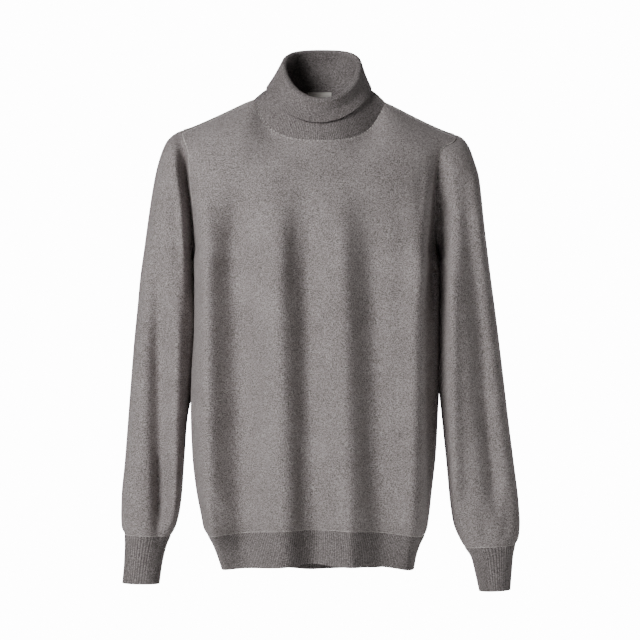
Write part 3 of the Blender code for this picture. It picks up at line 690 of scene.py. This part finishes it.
def panel_grid(face):
    """The outer points of a panel and its hem rib, rows upwards and columns left to right from outside."""
    across = across_places(face)
    rows = body_rows()
    lower = np.stack([body_section(face, row, across) for row in rows if row <= YOKE])
    shares = [(row - YOKE) / YOKE_ROWS for row in rows if row > YOKE]
    grid = relax(np.concatenate([lower, yoke(face, across, shares)]), len(lower) - YOKE_BLEND)
    if face == "back":
        grid = grid[:, ::-1]
    _, folds, creases, facing = FACES[face]
    depths = fold_depths(grid, folds) * BODY_DEEPER + crease_depths(grid, creases)
    pressed = press_in(grid, depths, facing, False)
    if face == "front":
        share = fade(-pressed[..., 2], -LEVELS[0].height - HEM_LIFT_REACH, -LEVELS[0].height)
        for lift in HEM_LIFTS:
            near = (pressed[..., 0] - lift.across) / lift.width
            pressed[..., 2] += lift.rise * share * np.exp(-(near**2))
    return pressed


def armhole(grids, side):
    """Points round an armhole, up its front and down its back, and their places in the solids' steps."""
    rows = np.array(body_rows())
    chosen = np.flatnonzero(rows >= ARMPIT)
    front_column, back_column = (0, -1) if side < 0 else (-1, 0)
    front = grids["front"][chosen, front_column]
    back = grids["back"][chosen, back_column]
    loop = np.concatenate([front, back[-2:0:-1]])
    steps = rows[chosen] - ARMPIT
    return loop, np.concatenate([steps, ARMHOLE_STEPS - steps[-2:0:-1]])


def ring_frame(row):
    """Middle, half length and the two directions of a ring, in the plane of the front view."""
    outer = np.array([row.outer, row.outer_height])
    inner = np.array([row.inner, row.inner_height])
    across = (outer - inner) / 2
    half = np.linalg.norm(across)
    across = across / half
    return (outer + inner) / 2, half, across, np.array([-across[1], across[0]])


def body_side(side, depth, height):
    """How far across the body reaches at a depth and a height, on one side below the armhole."""
    heights = [row.height for row in LEVELS[:ARMPIT + 1]]
    columns = [(row.left, row.right, row.front_edge, row.front, row.back) for row in LEVELS[:ARMPIT + 1]]
    left, right, edge_depth, front, back = smooth(heights, columns, height).T
    edge = left if side < 0 else right
    middle = (left + right) / 2
    reach = np.where(depth < edge_depth, front, back) - edge_depth
    share = np.clip(np.abs((depth - edge_depth) / reach), 0, 1)
    square = LEVELS[0].square
    return middle + (edge - middle) * (1 - share**square) ** (1 / square)


def rest_on_body(points, side):
    """The sleeve's points, moved out to where the body's side leaves room for them."""
    high, low = SLEEVE_CLEAR_HEIGHTS
    share = fade(-points[:, 2], -high, -low)
    clear = SLEEVE_CLEAR[0] + share * (SLEEVE_CLEAR[1] - SLEEVE_CLEAR[0])
    limit = body_side(side, points[:, 1], points[:, 2]) * side + clear
    reach = points[:, 0] * side
    near = np.exp(-((reach - limit) / ARMPIT_PULL_REACH) ** 2)
    reach = reach - ARMPIT_PULL * near * (1 - share) * fade(-points[:, 2], -high, -ARMPIT_PULL_HEIGHT)
    bend = SLEEVE_BEND * share
    moved = (reach + limit + np.sqrt((reach - limit) ** 2 + bend**2)) / 2
    below = points[:, 2] < high
    result = points.copy()
    result[below, 0] = moved[below] * side
    return result


def oval(places):
    """Shares across and back of an oval ring that starts at its inner side and turns by the front."""
    turn = np.pi - places * 2 * np.pi / ARMHOLE_STEPS
    power = 2 / RING_SQUARE
    across = np.sign(np.cos(turn)) * np.abs(np.cos(turn)) ** power
    back = -np.sign(np.sin(turn)) * np.abs(np.sin(turn)) ** power
    return across, back


def sleeve_rings(table, loop, loop_places, places):
    """Rings of a tube at the given places of its table, grown from the armhole loop."""
    middle, half, across, normal = ring_frame(table[0])
    offset = loop[:, [0, 2]] - middle
    loop_across = offset @ across / half
    loop_out = offset @ normal
    loop_back = (loop[:, 1] - table[0].middle) / table[0].half_depth
    oval_across, oval_back = oval(loop_places)
    side = 1 if table[0].outer > 0 else -1
    rings = []
    for place in places:
        row = table_row(table, place)
        middle, half, across, normal = ring_frame(row)
        share_across = loop_across + (oval_across - loop_across) * row.round
        share_back = loop_back + (oval_back - loop_back) * row.round
        out = loop_out * (1 - row.round)
        flat = middle + share_across[:, None] * half * across + out[:, None] * normal
        depth = row.middle + share_back * row.half_depth
        ring = np.stack([flat[:, 0], depth, flat[:, 1]], axis=1)
        rings.append(rest_on_body(ring, side) if place else ring)
    return np.stack(rings)


def sleeve_places(table):
    """Fine places along a sleeve's table, about evenly far apart on its outer side."""
    outer = np.array([(row.outer, row.outer_height) for row in table])
    return even_rows(run_length(outer), CLOTH_STEP)


def sleeve_grid(name, panels):
    """A sleeve with its cuff, as a panel's grid is laid out, and the row of its cuff seam."""
    side, rings, cuff, folds, creases = SLEEVES[name]
    table = rings + cuff
    places = sleeve_places(table)
    grid = sleeve_rings(table, *armhole(panels, side), places)
    turned = grid[::-1] if side > 0 else grid[::-1, ::-1]
    away = run_length(turned[::-1])[::-1]
    small = crease_depths(turned, creases) * (1 - seam_fade(away, ARMHOLE_GUARD))
    depths = fold_depths(turned, folds) * SLEEVE_DEEPER + small
    pressed = press_in(turned, depths, (0, -1, 0), True)
    pressed = press_in(pressed, crease_depths(pressed, SLEEVE_BACK_CREASES), (0, 1, 0), True)
    return pressed, len(places) - 1 - places.index(len(rings) - 1)


def refine(grid, closed):
    """The grid with a column halfway along each column step."""
    source = np.concatenate([grid, grid[:, :1]], axis=1) if closed else grid
    halfway = (source[:, :-1] + source[:, 1:]) / 2
    split = np.stack([source[:, :-1], halfway], axis=2).reshape(len(grid), -1, 3)
    return split if closed else np.concatenate([split, grid[:, -1:]], axis=1)


def wall_quads(rows, columns, closed):
    """Row, column and side of each corner of a wall's faces, all with four corners."""
    up = range(rows - 1)
    around = range(columns if closed else columns - 1)
    faces = [
        (up, around, ((0, 0, 0), (0, 1, 0), (1, 1, 0), (1, 0, 0))),
        (up, around, ((0, 1, 1), (0, 0, 1), (1, 0, 1), (1, 1, 1))),
        ([0], around, ((0, 1, 0), (0, 0, 0), (0, 0, 1), (0, 1, 1))),
        ([rows - 1], around, ((0, 0, 0), (0, 1, 0), (0, 1, 1), (0, 0, 1))),
    ]
    if not closed:
        faces.append((up, [0], ((0, 0, 0), (1, 0, 0), (1, 0, 1), (0, 0, 1))))
        faces.append((up, [columns - 1], ((0, 0, 1), (1, 0, 1), (1, 0, 0), (0, 0, 0))))
    quads = []
    for its_rows, its_columns, corners in faces:
        row, column = [part.ravel() for part in np.meshgrid(its_rows, its_columns, indexing="ij")]
        quads.append(np.stack([row, column, 0 * row], axis=1)[:, None] + np.array(corners))
    return np.concatenate(quads)


def cloth_piece(name, outer, normal, closed, thickness, rib_rise=0.0, rib_pitch=None):
    """Makes one piece of cloth as a closed wall with a UV map of its real size, and returns its object."""
    crest = 0
    if rib_rise:
        outer = refine(outer, closed)
        normal = unit(refine(normal, closed))
        crest = (np.arange(outer.shape[1]) % 2)[None, :, None] * rib_rise
    rows, columns = outer.shape[:2]
    middle = outer[:, columns // 4 if closed else columns // 2]
    up = run_length(middle) * MM
    reference = outer[rows // 3]
    if closed:
        reference = np.concatenate([reference, reference[:1]])
    across = run_length(reference) * MM
    if rib_pitch:
        across = np.arange(len(across)) * rib_pitch / 2 * MM
    shown = outer + normal * crest
    hidden = outer - normal * (thickness + rib_rise) + normal * crest
    points = np.concatenate([shown.reshape(-1, 3), hidden.reshape(-1, 3)]) * MM
    quads = wall_quads(rows, columns, closed)
    row, column, side = quads[..., 0], quads[..., 1], quads[..., 2]
    corners = side * rows * columns + row * columns + column % columns
    mesh = bpy.data.meshes.new(name)
    mesh.from_pydata(points.tolist(), [], corners.tolist())
    layer = mesh.uv_layers.new(name="cloth")
    layer.data.foreach_set("uv", np.stack([across[column], up[row]], axis=-1).ravel())
    mesh.validate()
    mesh.shade_smooth()
    mesh.set_sharp_from_angle(angle=math.radians(SHARP_ANGLE))
    piece = bpy.data.objects.new(name, mesh)
    bpy.context.scene.collection.objects.link(piece)
    return piece


def dress(piece, node, material):
    """Puts a finished piece of cloth in its solid's place."""
    piece.data.materials.append(material)
    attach(piece, "root")
    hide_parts(node)


def knit_piece(name, node, outer, normal, closed, ribbed):
    """Makes one knitted piece and puts it in its solid's place."""
    yarn = bpy.context.scene.sweater_yarn
    ribs = (yarn.rib_rise / MM, RIB_PITCH) if ribbed else ()
    piece = cloth_piece(name, outer, normal, closed, yarn.cloth / MM, *ribs)
    knit = "merino_rib" if ribbed else "merino_jersey"
    material = bpy.data.materials.get(knit) or knit_material(knit, yarn, ribbed)
    dress(piece, node, material)


def add_node(tree, kind, inputs=None, **settings):
    """Adds a node with its settings, and links or sets each of its inputs."""
    node = tree.nodes.new(kind)
    for name, value in settings.items():
        setattr(node, name, value)
    for key, value in (inputs or {}).items():
        if isinstance(value, bpy.types.NodeSocket):
            tree.links.new(value, node.inputs[key])
        else:
            node.inputs[key].default_value = value
    return node


def sums(tree, value, *steps):
    """The value after each step in turn, which is a sum's name and what else it takes in."""
    for operation, other in steps:
        value = add_node(tree, "ShaderNodeMath", {0: value, 1: other}, operation=operation).outputs[0]
    return value


def new_material(name, finish):
    """A new material, its node tree and its shader, set to the values of the finish."""
    material = bpy.data.materials.new(name)
    material.use_nodes = True
    shader = material.node_tree.nodes["Principled BSDF"]
    for socket, value in finish.items():
        shader.inputs[socket].default_value = value
    return material, material.node_tree, shader


def set_stops(ramp, places, codes):
    """Gives a colour ramp its places and their sRGB hex colours."""
    steps = ramp.color_ramp.elements
    for place in places[1:-1]:
        steps.new(place)
    for step, place, code in zip(steps, places, codes):
        step.position = place
        step.color = linear_colour(code)


def fibre_tone(tree, flat):
    """A value round a half that varies with the mix of light and dark fibre."""
    place = add_node(tree, "ShaderNodeTexCoord").outputs["Object"]
    stretched = add_node(
        tree, "ShaderNodeMapping",
        {"Vector": flat, "Scale": (1 / (STREAK_LONG * MM), 1 / (STREAK_HIGH * MM), 1)},
    ).outputs[0]
    tone = 0.5
    for vector, scale, detail, share in (
        (place, 1 / (FLECK * MM), 2.0, FLECK_SHARE),
        (stretched, 1.0, 2.0, STREAK_SHARE),
        (place, 1 / (CLOUD * MM), 1.0, CLOUD_SHARE),
    ):
        noise = add_node(tree, "ShaderNodeTexNoise", {"Vector": vector, "Scale": scale, "Detail": detail})
        tone = sums(tree, noise.outputs[0], ("SUBTRACT", 0.5), ("MULTIPLY", share), ("ADD", tone))
    return tone


def painted_groove_shade(tree, flat):
    """Painted shade: a value from the groove's painted darkness between two ribs, up to 1 along each rib."""
    across = add_node(tree, "ShaderNodeSeparateXYZ", {0: flat}).outputs[0]
    wave = sums(tree, across, ("MULTIPLY", math.pi / (RIB_PITCH * MM)), ("SINE", 0.0))
    return sums(tree, wave, ("MULTIPLY", wave), ("MULTIPLY", 1 - RIB_GROOVE_PAINTED_SHADE), ("ADD", RIB_GROOVE_PAINTED_SHADE))


def stitch_height(tree, place):
    """A value that rises along each knitted loop, two leaning legs to a wale."""
    across, up, _ = add_node(tree, "ShaderNodeSeparateXYZ", {0: place}).outputs
    wale = sums(tree, across, ("DIVIDE", WALE * MM), ("FRACT", 0.0))
    leg = sums(tree, wale, ("SUBTRACT", 0.5), ("ABSOLUTE", 0.0))
    lean = sums(tree, leg, ("MULTIPLY", 2 * STITCH_LEAN))
    course = sums(tree, up, ("DIVIDE", COURSE * MM), ("ADD", lean), ("FRACT", 0.0))
    return sums(tree, course, ("MULTIPLY", math.pi), ("SINE", 0.0), ("SUBTRACT", leg))


def knit_material(name, yarn, ribbed):
    """Heathered wool knit: matt, mixed light and dark fibres and a soft nap that lights at the edges."""
    finish = {**KNIT_FINISH, "Sheen Tint": linear_colour(yarn.light)}
    material, tree, shader = new_material(name, finish)
    place = add_node(tree, "ShaderNodeUVMap", uv_map="cloth").outputs[0]
    ramp = add_node(tree, "ShaderNodeValToRGB", {0: fibre_tone(tree, place)})
    set_stops(ramp, FIBRE_STOPS, (yarn.dark, yarn.middle, yarn.light))
    colour = ramp.outputs[0]
    if ribbed:
        # The ribs are darkened, and their grooves get painted shade.
        tone = sums(tree, painted_groove_shade(tree, place), ("MULTIPLY", RIB_SHADE))
        colour = add_node(
            tree, "ShaderNodeMix", {"Factor": 1.0, "A": colour, "B": tone},
            data_type="RGBA", blend_type="MULTIPLY",
        ).outputs["Result"]
    bump = add_node(
        tree, "ShaderNodeBump",
        {"Strength": STITCH_BUMP, "Distance": STITCH_RISE * MM, "Height": stitch_height(tree, place)},
    )
    tree.links.new(colour, shader.inputs["Base Color"])
    tree.links.new(bump.outputs[0], shader.inputs["Normal"])
    return material


def loop_points(loop, angle):
    """Points of a collar loop, at angles from the front that grow towards +X."""
    middle_depth = (loop.front + loop.back) / 2
    half_depth = (loop.back - loop.front) / 2
    middle_height = (loop.front_height + loop.back_height) / 2
    half_height = (loop.back_height - loop.front_height) / 2
    side_lift = loop.side_height - middle_height
    x = loop.middle + loop.half_width * np.sin(angle)
    y = middle_depth - half_depth * np.cos(angle)
    z = middle_height - half_height * np.cos(angle) + side_lift * np.sin(angle) ** 2
    return np.stack([x, y, z], axis=1)


def collar_profile(seam):
    """The collar's hidden side, rows from the neck seam over the crest to the turned-down edge."""
    half_width = FRONT_NECK[0].across
    half_depth = (BACK_NECK[-1].depth - FRONT_NECK[-1].depth) / 2
    middle_depth = (BACK_NECK[-1].depth + FRONT_NECK[-1].depth) / 2
    angle = np.arctan2((seam[:, 0] - BODY_MIDDLE) / half_width, (middle_depth - seam[:, 1]) / half_depth)
    crest = loop_points(CREST, angle)
    edge = loop_points(EDGE, angle)
    ring_width = CREST.half_width
    ring_depth = (CREST.back - CREST.front) / 2
    away = unit(np.stack([np.sin(angle) / ring_width, -np.cos(angle) / ring_depth, 0 * angle], axis=1))
    up = np.array([0, 0, 1.0])
    hidden_radius = CREST_RADIUS - CLOTH
    centre = crest - up * CREST_RADIUS
    start = centre - away * hidden_radius
    finish = edge - unit(away + up * EDGE_TILT) * CLOTH
    inside_edge = finish - away * STAND_CLEAR
    rows = [seam, (seam + inside_edge) / 2 + away * STAND_BULGE, inside_edge, (inside_edge + start) / 2]
    ahead = np.clip(np.cos(angle), 0, 1)[:, None] ** 2
    for turn in np.radians(CREST_TURNS):
        row = centre + hidden_radius * (up * math.sin(turn) - away * math.cos(turn))
        rows.append(row + away * ahead * FRONT_ROLL * (1 - math.cos(turn)) / 2)
    rows.append((rows[-1] + finish) / 2 - away * (LAYER_SAG + FRONT_SAG * ahead))
    rows.append(finish)
    return np.stack(rows)


def tape_material(yarn):
    """Woven polyester tape, left bare: a smooth pale satin weave with a faint thread line."""
    finish = {"Base Color": linear_colour(yarn.label), "Roughness": TAPE_ROUGHNESS}
    material, tree, shader = new_material("woven_label_tape", finish)
    place = add_node(tree, "ShaderNodeUVMap", uv_map="cloth").outputs[0]
    waves = {"Vector": place, "Scale": 1 / (TAPE_THREAD * WAVE_TURN * MM), "Distortion": TAPE_WANDER}
    threads = add_node(tree, "ShaderNodeTexWave", waves, bands_direction="Y").outputs[1]
    rise = {"Strength": TAPE_BUMP, "Distance": TAPE_RISE * MM, "Height": threads}
    bump = add_node(tree, "ShaderNodeBump", rise)
    tree.links.new(bump.outputs[0], shader.inputs["Normal"])
    return material


def paint_material(name, code, roughness, glow):
    """Plain matt paint or paper of the stage, one even colour, which may glow white."""
    finish = {"Base Color": linear_colour(code), "Roughness": roughness}
    glowing = {"Emission Color": WHITE, "Emission Strength": glow}
    return new_material(name, {**finish, **glowing})[0]


# What cloth_grids has worked out.
GRIDS = {}


def cloth_grids():
    """The fine grids of both panels and both sleeves, and the rows of the cuff seams."""
    if not GRIDS:
        for face in FACES:
            GRIDS[face] = panel_grid(face)
        for name in SLEEVES:
            GRIDS[name], GRIDS[name + "_cuff"] = sleeve_grid(name, GRIDS)
    return GRIDS


def stretch(source, rows, closed=False, every=1):
    """Rows of a grid, their normals and the length up its middle column."""
    grid = cloth_grids()[source]
    normal = outward(grid, closed)[rows, ::every]
    grid = grid[rows, ::every]
    return grid, normal, run_length(grid[:, grid.shape[1] // 2])


def rib_bands():
    """The grid and name of each ribbed band, its seam's row and whether it is a tube."""
    hem_row = body_rows().index(HEM_SEAM)
    bands = [(face, face + "_hem", hem_row, False) for face in FACES]
    return bands + [(side, side + "_cuff", cloth_grids()[side + "_cuff"], True) for side in SLEEVES]


class SWEATER_OT_body(bpy.types.Operator):
    """Front and back panels, with their flutes and small creases"""

    bl_idname = "sweater.body"
    bl_label = "Front and back panels"

    def execute(self, context):
        hem_row = body_rows().index(HEM_SEAM)
        for face in FACES:
            grid, normal, up = stretch(face, slice(hem_row, None))
            dip = SEAM_DIP * seam_fade(up, SEAM_REACH)
            outer = grid - normal * dip[:, None, None]
            knit_piece(face + "_cloth", face + "_panel", outer, normal, False, False)
        return {"FINISHED"}


class SWEATER_OT_sleeves(bpy.types.Operator):
    """Both sleeves, set in a little below the panels' edges"""

    bl_idname = "sweater.sleeves"
    bl_label = "Sleeves"

    def execute(self, context):
        low = LEVELS[ARMPIT].height
        for side in SLEEVES:
            cuff_row = cloth_grids()[side + "_cuff"]
            grid, normal, up = stretch(side, slice(cuff_row, None), closed=True)
            dip = SEAM_DIP * seam_fade(up, SEAM_REACH)
            step = ARMHOLE_STEP * seam_fade(up[-1] - up, ARMHOLE_REACH)
            step = step[:, None] * fade(grid[..., 2], low, low + ARMHOLE_STEP_RISE)
            outer = grid - normal * (dip[:, None] + step)[..., None]
            knit_piece(side + "_sleeve_cloth", side + "_sleeve", outer, normal, True, False)
        return {"FINISHED"}


class SWEATER_OT_ribs(bpy.types.Operator):
    """Ribbed hem band and cuffs"""

    bl_idname = "sweater.ribs"
    bl_label = "Hem and cuff ribs"

    def execute(self, context):
        for source, band, seam_row, closed in rib_bands():
            every = CUFF_EVERY if closed else 1
            grid, normal, up = stretch(source, slice(None, seam_row + 1), closed, every)
            dip = SEAM_DIP * seam_fade(up[-1] - up, SEAM_REACH)
            outer = grid - normal * dip[:, None, None]
            node = band if closed else band + "_rib"
            knit_piece(node + "_cloth", node, outer, normal, closed, True)
        return {"FINISHED"}


def neck_seam():
    """The neckline's points, along the front and then the back, at the fine step."""
    front = across_places("front")
    back = across_places("back")
    front = front[np.abs(front) <= NECK_SHARE + PLACE_SLACK]
    back = back[np.abs(back) < NECK_SHARE - PLACE_SLACK][::-1]
    return np.concatenate([top_edge("front", front)[0], top_edge("back", back)[0]])


def collar_surface():
    """The collar's shown side and its normals, rows from the turned-down edge over to the neck seam."""
    hidden = collar_profile(neck_seam())
    places = even_rows(run_length(hidden[:, SHOULDER_COLUMNS]), COLLAR_STEP)
    flat = hidden.reshape(len(hidden), -1)
    fine = smooth(range(len(hidden)), flat, places).reshape(len(places), -1, 3)
    normal = outward(fine, closed=True)
    return (fine - normal * CLOTH)[::-1], -normal[::-1]


class SWEATER_OT_collar(bpy.types.Operator):
    """Ribbed roll collar, one tube that stands up and turns down over itself"""

    bl_idname = "sweater.collar"
    bl_label = "Roll collar"

    def execute(self, context):
        shown, normal = collar_surface()
        knit_piece("collar_cloth", "collar", shown, normal, True, True)
        return {"FINISHED"}


class SWEATER_OT_label(bpy.types.Operator):
    """Small woven label inside the back of the neck, left bare"""

    bl_idname = "sweater.label"
    bl_label = "Neck label"

    def execute(self, context):
        low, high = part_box("neck_label")
        stand = collar_surface()[0][::-1]
        across = np.linspace(high[0], low[0], LABEL_COLUMNS) / MM
        heights = np.linspace(low[2], high[2], LABEL_ROWS) / MM
        columns = [
            column for column in range(stand.shape[1])
            if stand[0, column, 1] > 0 and abs(stand[0, column, 0]) < LABEL_REACH
        ]
        grid = []
        for height in heights:
            reach = []
            for column in columns:
                line = stand[:LABEL_STAND_ROWS, column]
                reach.append([np.interp(height, line[:, 2], line[:, axis]) for axis in (0, 1)])
            reach = np.array(sorted(reach))
            depth = np.interp(across, reach[:, 0], reach[:, 1]) - LABEL_CLEAR
            grid.append(np.stack([across, depth, np.full(len(across), height)], axis=1))
        grid = np.stack(grid)
        piece = cloth_piece("neck_label_tape", grid, outward(grid), False, LABEL_THICK)
        dress(piece, "neck_label", tape_material(context.scene.sweater_yarn))
        return {"FINISHED"}


def stitch_mesh(line, normal, closed):
    """Points and faces of a low flat stitch along a line."""
    ahead = unit(np.roll(line, -1, 0) - np.roll(line, 1, 0)) if closed else unit(np.gradient(line, axis=0))
    aside = unit(np.cross(ahead, normal))
    turn = np.arange(STITCH_SIDES) * 2 * np.pi / STITCH_SIDES
    centre = line - normal * STITCH_SINK
    ring = aside[:, None] * (np.cos(turn) * STITCH_WIDE)[None, :, None]
    ring = ring + normal[:, None] * (np.sin(turn) * STITCH_HIGH)[None, :, None]
    points = (centre[:, None] + ring).reshape(-1, 3)
    count = len(line)
    faces = []
    for step in range(count if closed else count - 1):
        after = (step + 1) % count
        for side in range(STITCH_SIDES):
            beside = (side + 1) % STITCH_SIDES
            corners = ((step, side), (step, beside), (after, beside), (after, side))
            faces.append([row * STITCH_SIDES + place for row, place in corners])
    if not closed:
        faces.append(list(range(STITCH_SIDES))[::-1])
        faces.append([(count - 1) * STITCH_SIDES + side for side in range(STITCH_SIDES)])
    return points, faces


def seam_stitches(name, stitches, material):
    """Makes one piece of stitches, each given as a line, its normals and whether it is closed."""
    points, faces = [], []
    for line, normal, closed in stitches:
        more, sides = stitch_mesh(line, normal, closed)
        faces += [[corner + len(points) for corner in face] for face in sides]
        points += (more * MM).tolist()
    mesh = bpy.data.meshes.new(name)
    mesh.from_pydata(points, [], faces)
    mesh.validate()
    mesh.shade_smooth()
    mesh.materials.append(material)
    piece = bpy.data.objects.new(name, mesh)
    bpy.context.scene.collection.objects.link(piece)
    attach(piece, "root")


def stitch_material(yarn):
    """Linking yarn: the same heathered wool in small loops, with painted highlights in short dashes where the
    loops would take the light.
    """
    material, tree, shader = new_material("linking_yarn", LINK_FINISH)
    place = add_node(tree, "ShaderNodeTexCoord").outputs["Object"]
    # Painted highlights: light dashes over the yarn's own colour.
    highlight_dash = add_node(tree, "ShaderNodeTexNoise", {"Vector": place, "Scale": 1 / (HIGHLIGHT_DASH * MM), "Detail": 1.0})
    ramp = add_node(tree, "ShaderNodeValToRGB", {0: highlight_dash.outputs[0]})
    set_stops(ramp, LINK_STOPS, (yarn.middle, yarn.link))
    tree.links.new(ramp.outputs[0], shader.inputs["Base Color"])
    return material


class SWEATER_OT_seams(bpy.types.Operator):
    """Linking stitches along the hem, cuff, shoulder, armhole and neck seams, and marks by the neck"""

    bl_idname = "sweater.seams"
    bl_label = "Seams and marks"

    def execute(self, context):
        material = stitch_material(context.scene.sweater_yarn)
        for source, band, row, closed in rib_bands():
            grid = cloth_grids()[source]
            normal = outward(grid, closed)[row]
            seam_stitches(band + "_linking", [(grid[row] - normal * SEAM_DIP, normal, closed)], material)
        front = cloth_grids()["front"]
        normal = outward(front)
        shoulder = SHOULDER_COLUMNS * SHOULDER_SPLIT
        above = np.array(body_rows()) >= ARMPIT
        for name, columns, edge in (
            ("left", slice(0, shoulder + 1), 0), ("right", slice(-1 - shoulder, None), -1)
        ):
            for seam, place in (("_shoulder_linking", (-1, columns)), ("_armhole_linking", (above, edge))):
                seam_stitches(name + seam, [(front[place], normal[place], False)], material)
        self.neck(front, normal, material)
        return {"FINISHED"}

    def neck(self, front, normal, material):
        """The looped stitches that join the collar, and those where the neckline was narrowed beside it."""
        across = across_places("front")
        for name, first, last, count, away, long in NECK_STITCHES:
            ends = np.linspace(away, away + long, STITCH_POINTS)
            stitches = []
            for place in np.concatenate([np.linspace(-last, -first, count), np.linspace(first, last, count)]):
                column = int(np.argmin(np.abs(across - place)))
                reach = run_length(front[::-1, column])
                line, facing = [
                    np.stack([np.interp(ends, reach, part[::-1, column, axis]) for axis in range(3)], axis=1)
                    for part in (front, normal)
                ]
                stitches.append((line + facing * STITCH_SINK, unit(facing), False))
            seam_stitches(name, stitches, material)


class SWEATER_OT_stage(bpy.types.Operator):
    """Pale floor, soft lights and the camera at the photograph's angle"""

    bl_idname = "sweater.stage"
    bl_label = "Stage"

    def execute(self, context):
        stage = context.scene.sweater_stage
        bpy.ops.object.select_all(action="DESELECT")
        bpy.ops.mesh.primitive_circle_add(
            vertices=FLOOR_SIDES, radius=FLOOR_RADIUS, fill_type="NGON", location=(0, 0, FLOOR_HEIGHT)
        )
        floor = context.object
        floor.name = "pale_floor"
        floor.data.materials.append(paint_material(*FLOOR_PAINT))
        bpy.ops.mesh.primitive_uv_sphere_add(
            segments=BACKDROP_SIDES, ring_count=BACKDROP_SIDES // 2, radius=BACKDROP_RADIUS
        )
        backdrop = context.object
        backdrop.name = "white_backdrop"
        backdrop.data.materials.append(paint_material(*BACKDROP_PAINT))
        backdrop.visible_diffuse = False
        backdrop.visible_glossy = False
        backdrop.visible_transmission = False
        backdrop.visible_shadow = False

        world = bpy.data.worlds.new("room_light")
        world.use_nodes = True
        world.node_tree.nodes["Background"].inputs[0].default_value = WHITE
        world.node_tree.nodes["Background"].inputs[1].default_value = stage.around
        context.scene.world = world
        for name, (place, size) in SOFTBOXES.items():
            bpy.ops.object.light_add(type="AREA", location=place)
            light = context.object
            light.name = name + "_softbox"
            light.data.shape = "RECTANGLE"
            light.data.size, light.data.size_y = size
            light.data.energy = getattr(stage, name)
            light.visible_camera = False
            aim = np.array(AIM) - np.array(place)
            light.rotation_euler = (
                math.acos(-aim[2] / np.linalg.norm(aim)), 0, math.atan2(aim[1], aim[0]) - math.pi / 2
            )
        bpy.ops.object.camera_add(
            location=(CAMERA_ACROSS, -stage.distance, CAMERA_HEIGHT), rotation=(math.pi / 2, 0, 0)
        )
        camera = context.object
        camera.data.lens = camera.data.sensor_width * stage.distance / FRAME_WIDTH
        context.scene.camera = camera
        return {"FINISHED"}


OPERATORS = (
    SWEATER_OT_body, SWEATER_OT_sleeves, SWEATER_OT_ribs, SWEATER_OT_collar, SWEATER_OT_label,
    SWEATER_OT_seams, SWEATER_OT_stage,
)


class SWEATER_PT_panel(bpy.types.Panel):
    """Settings and steps of the sweater"""

    bl_idname = "SWEATER_PT_panel"
    bl_label = "Roll-neck sweater"
    bl_space_type = "VIEW_3D"
    bl_region_type = "UI"
    bl_category = "Sweater"

    def draw(self, context):
        for settings in (context.scene.sweater_yarn, context.scene.sweater_stage):
            box = self.layout.box()
            for name in type(settings).__annotations__:
                box.prop(settings, name)
        for operator in OPERATORS:
            self.layout.operator(operator.bl_idname)


CLASSES = (YarnSettings, StageSettings) + OPERATORS + (SWEATER_PT_panel,)


def register():
    """Adds the settings, steps and panel."""
    for item in CLASSES:
        bpy.utils.register_class(item)
    bpy.types.Scene.sweater_yarn = bpy.props.PointerProperty(type=YarnSettings)
    bpy.types.Scene.sweater_stage = bpy.props.PointerProperty(type=StageSettings)


def unregister():
    """Takes the settings, steps and panel away again."""
    del bpy.types.Scene.sweater_stage
    del bpy.types.Scene.sweater_yarn
    for item in reversed(CLASSES):
        bpy.utils.unregister_class(item)


def main():
    """Makes the whole scene."""
    register()
    bpy.ops.sweater.body()
    bpy.ops.sweater.sleeves()
    bpy.ops.sweater.ribs()
    bpy.ops.sweater.collar()
    bpy.ops.sweater.label()
    bpy.ops.sweater.seams()
    bpy.ops.sweater.stage()


if __name__ == "__main__":
    main()
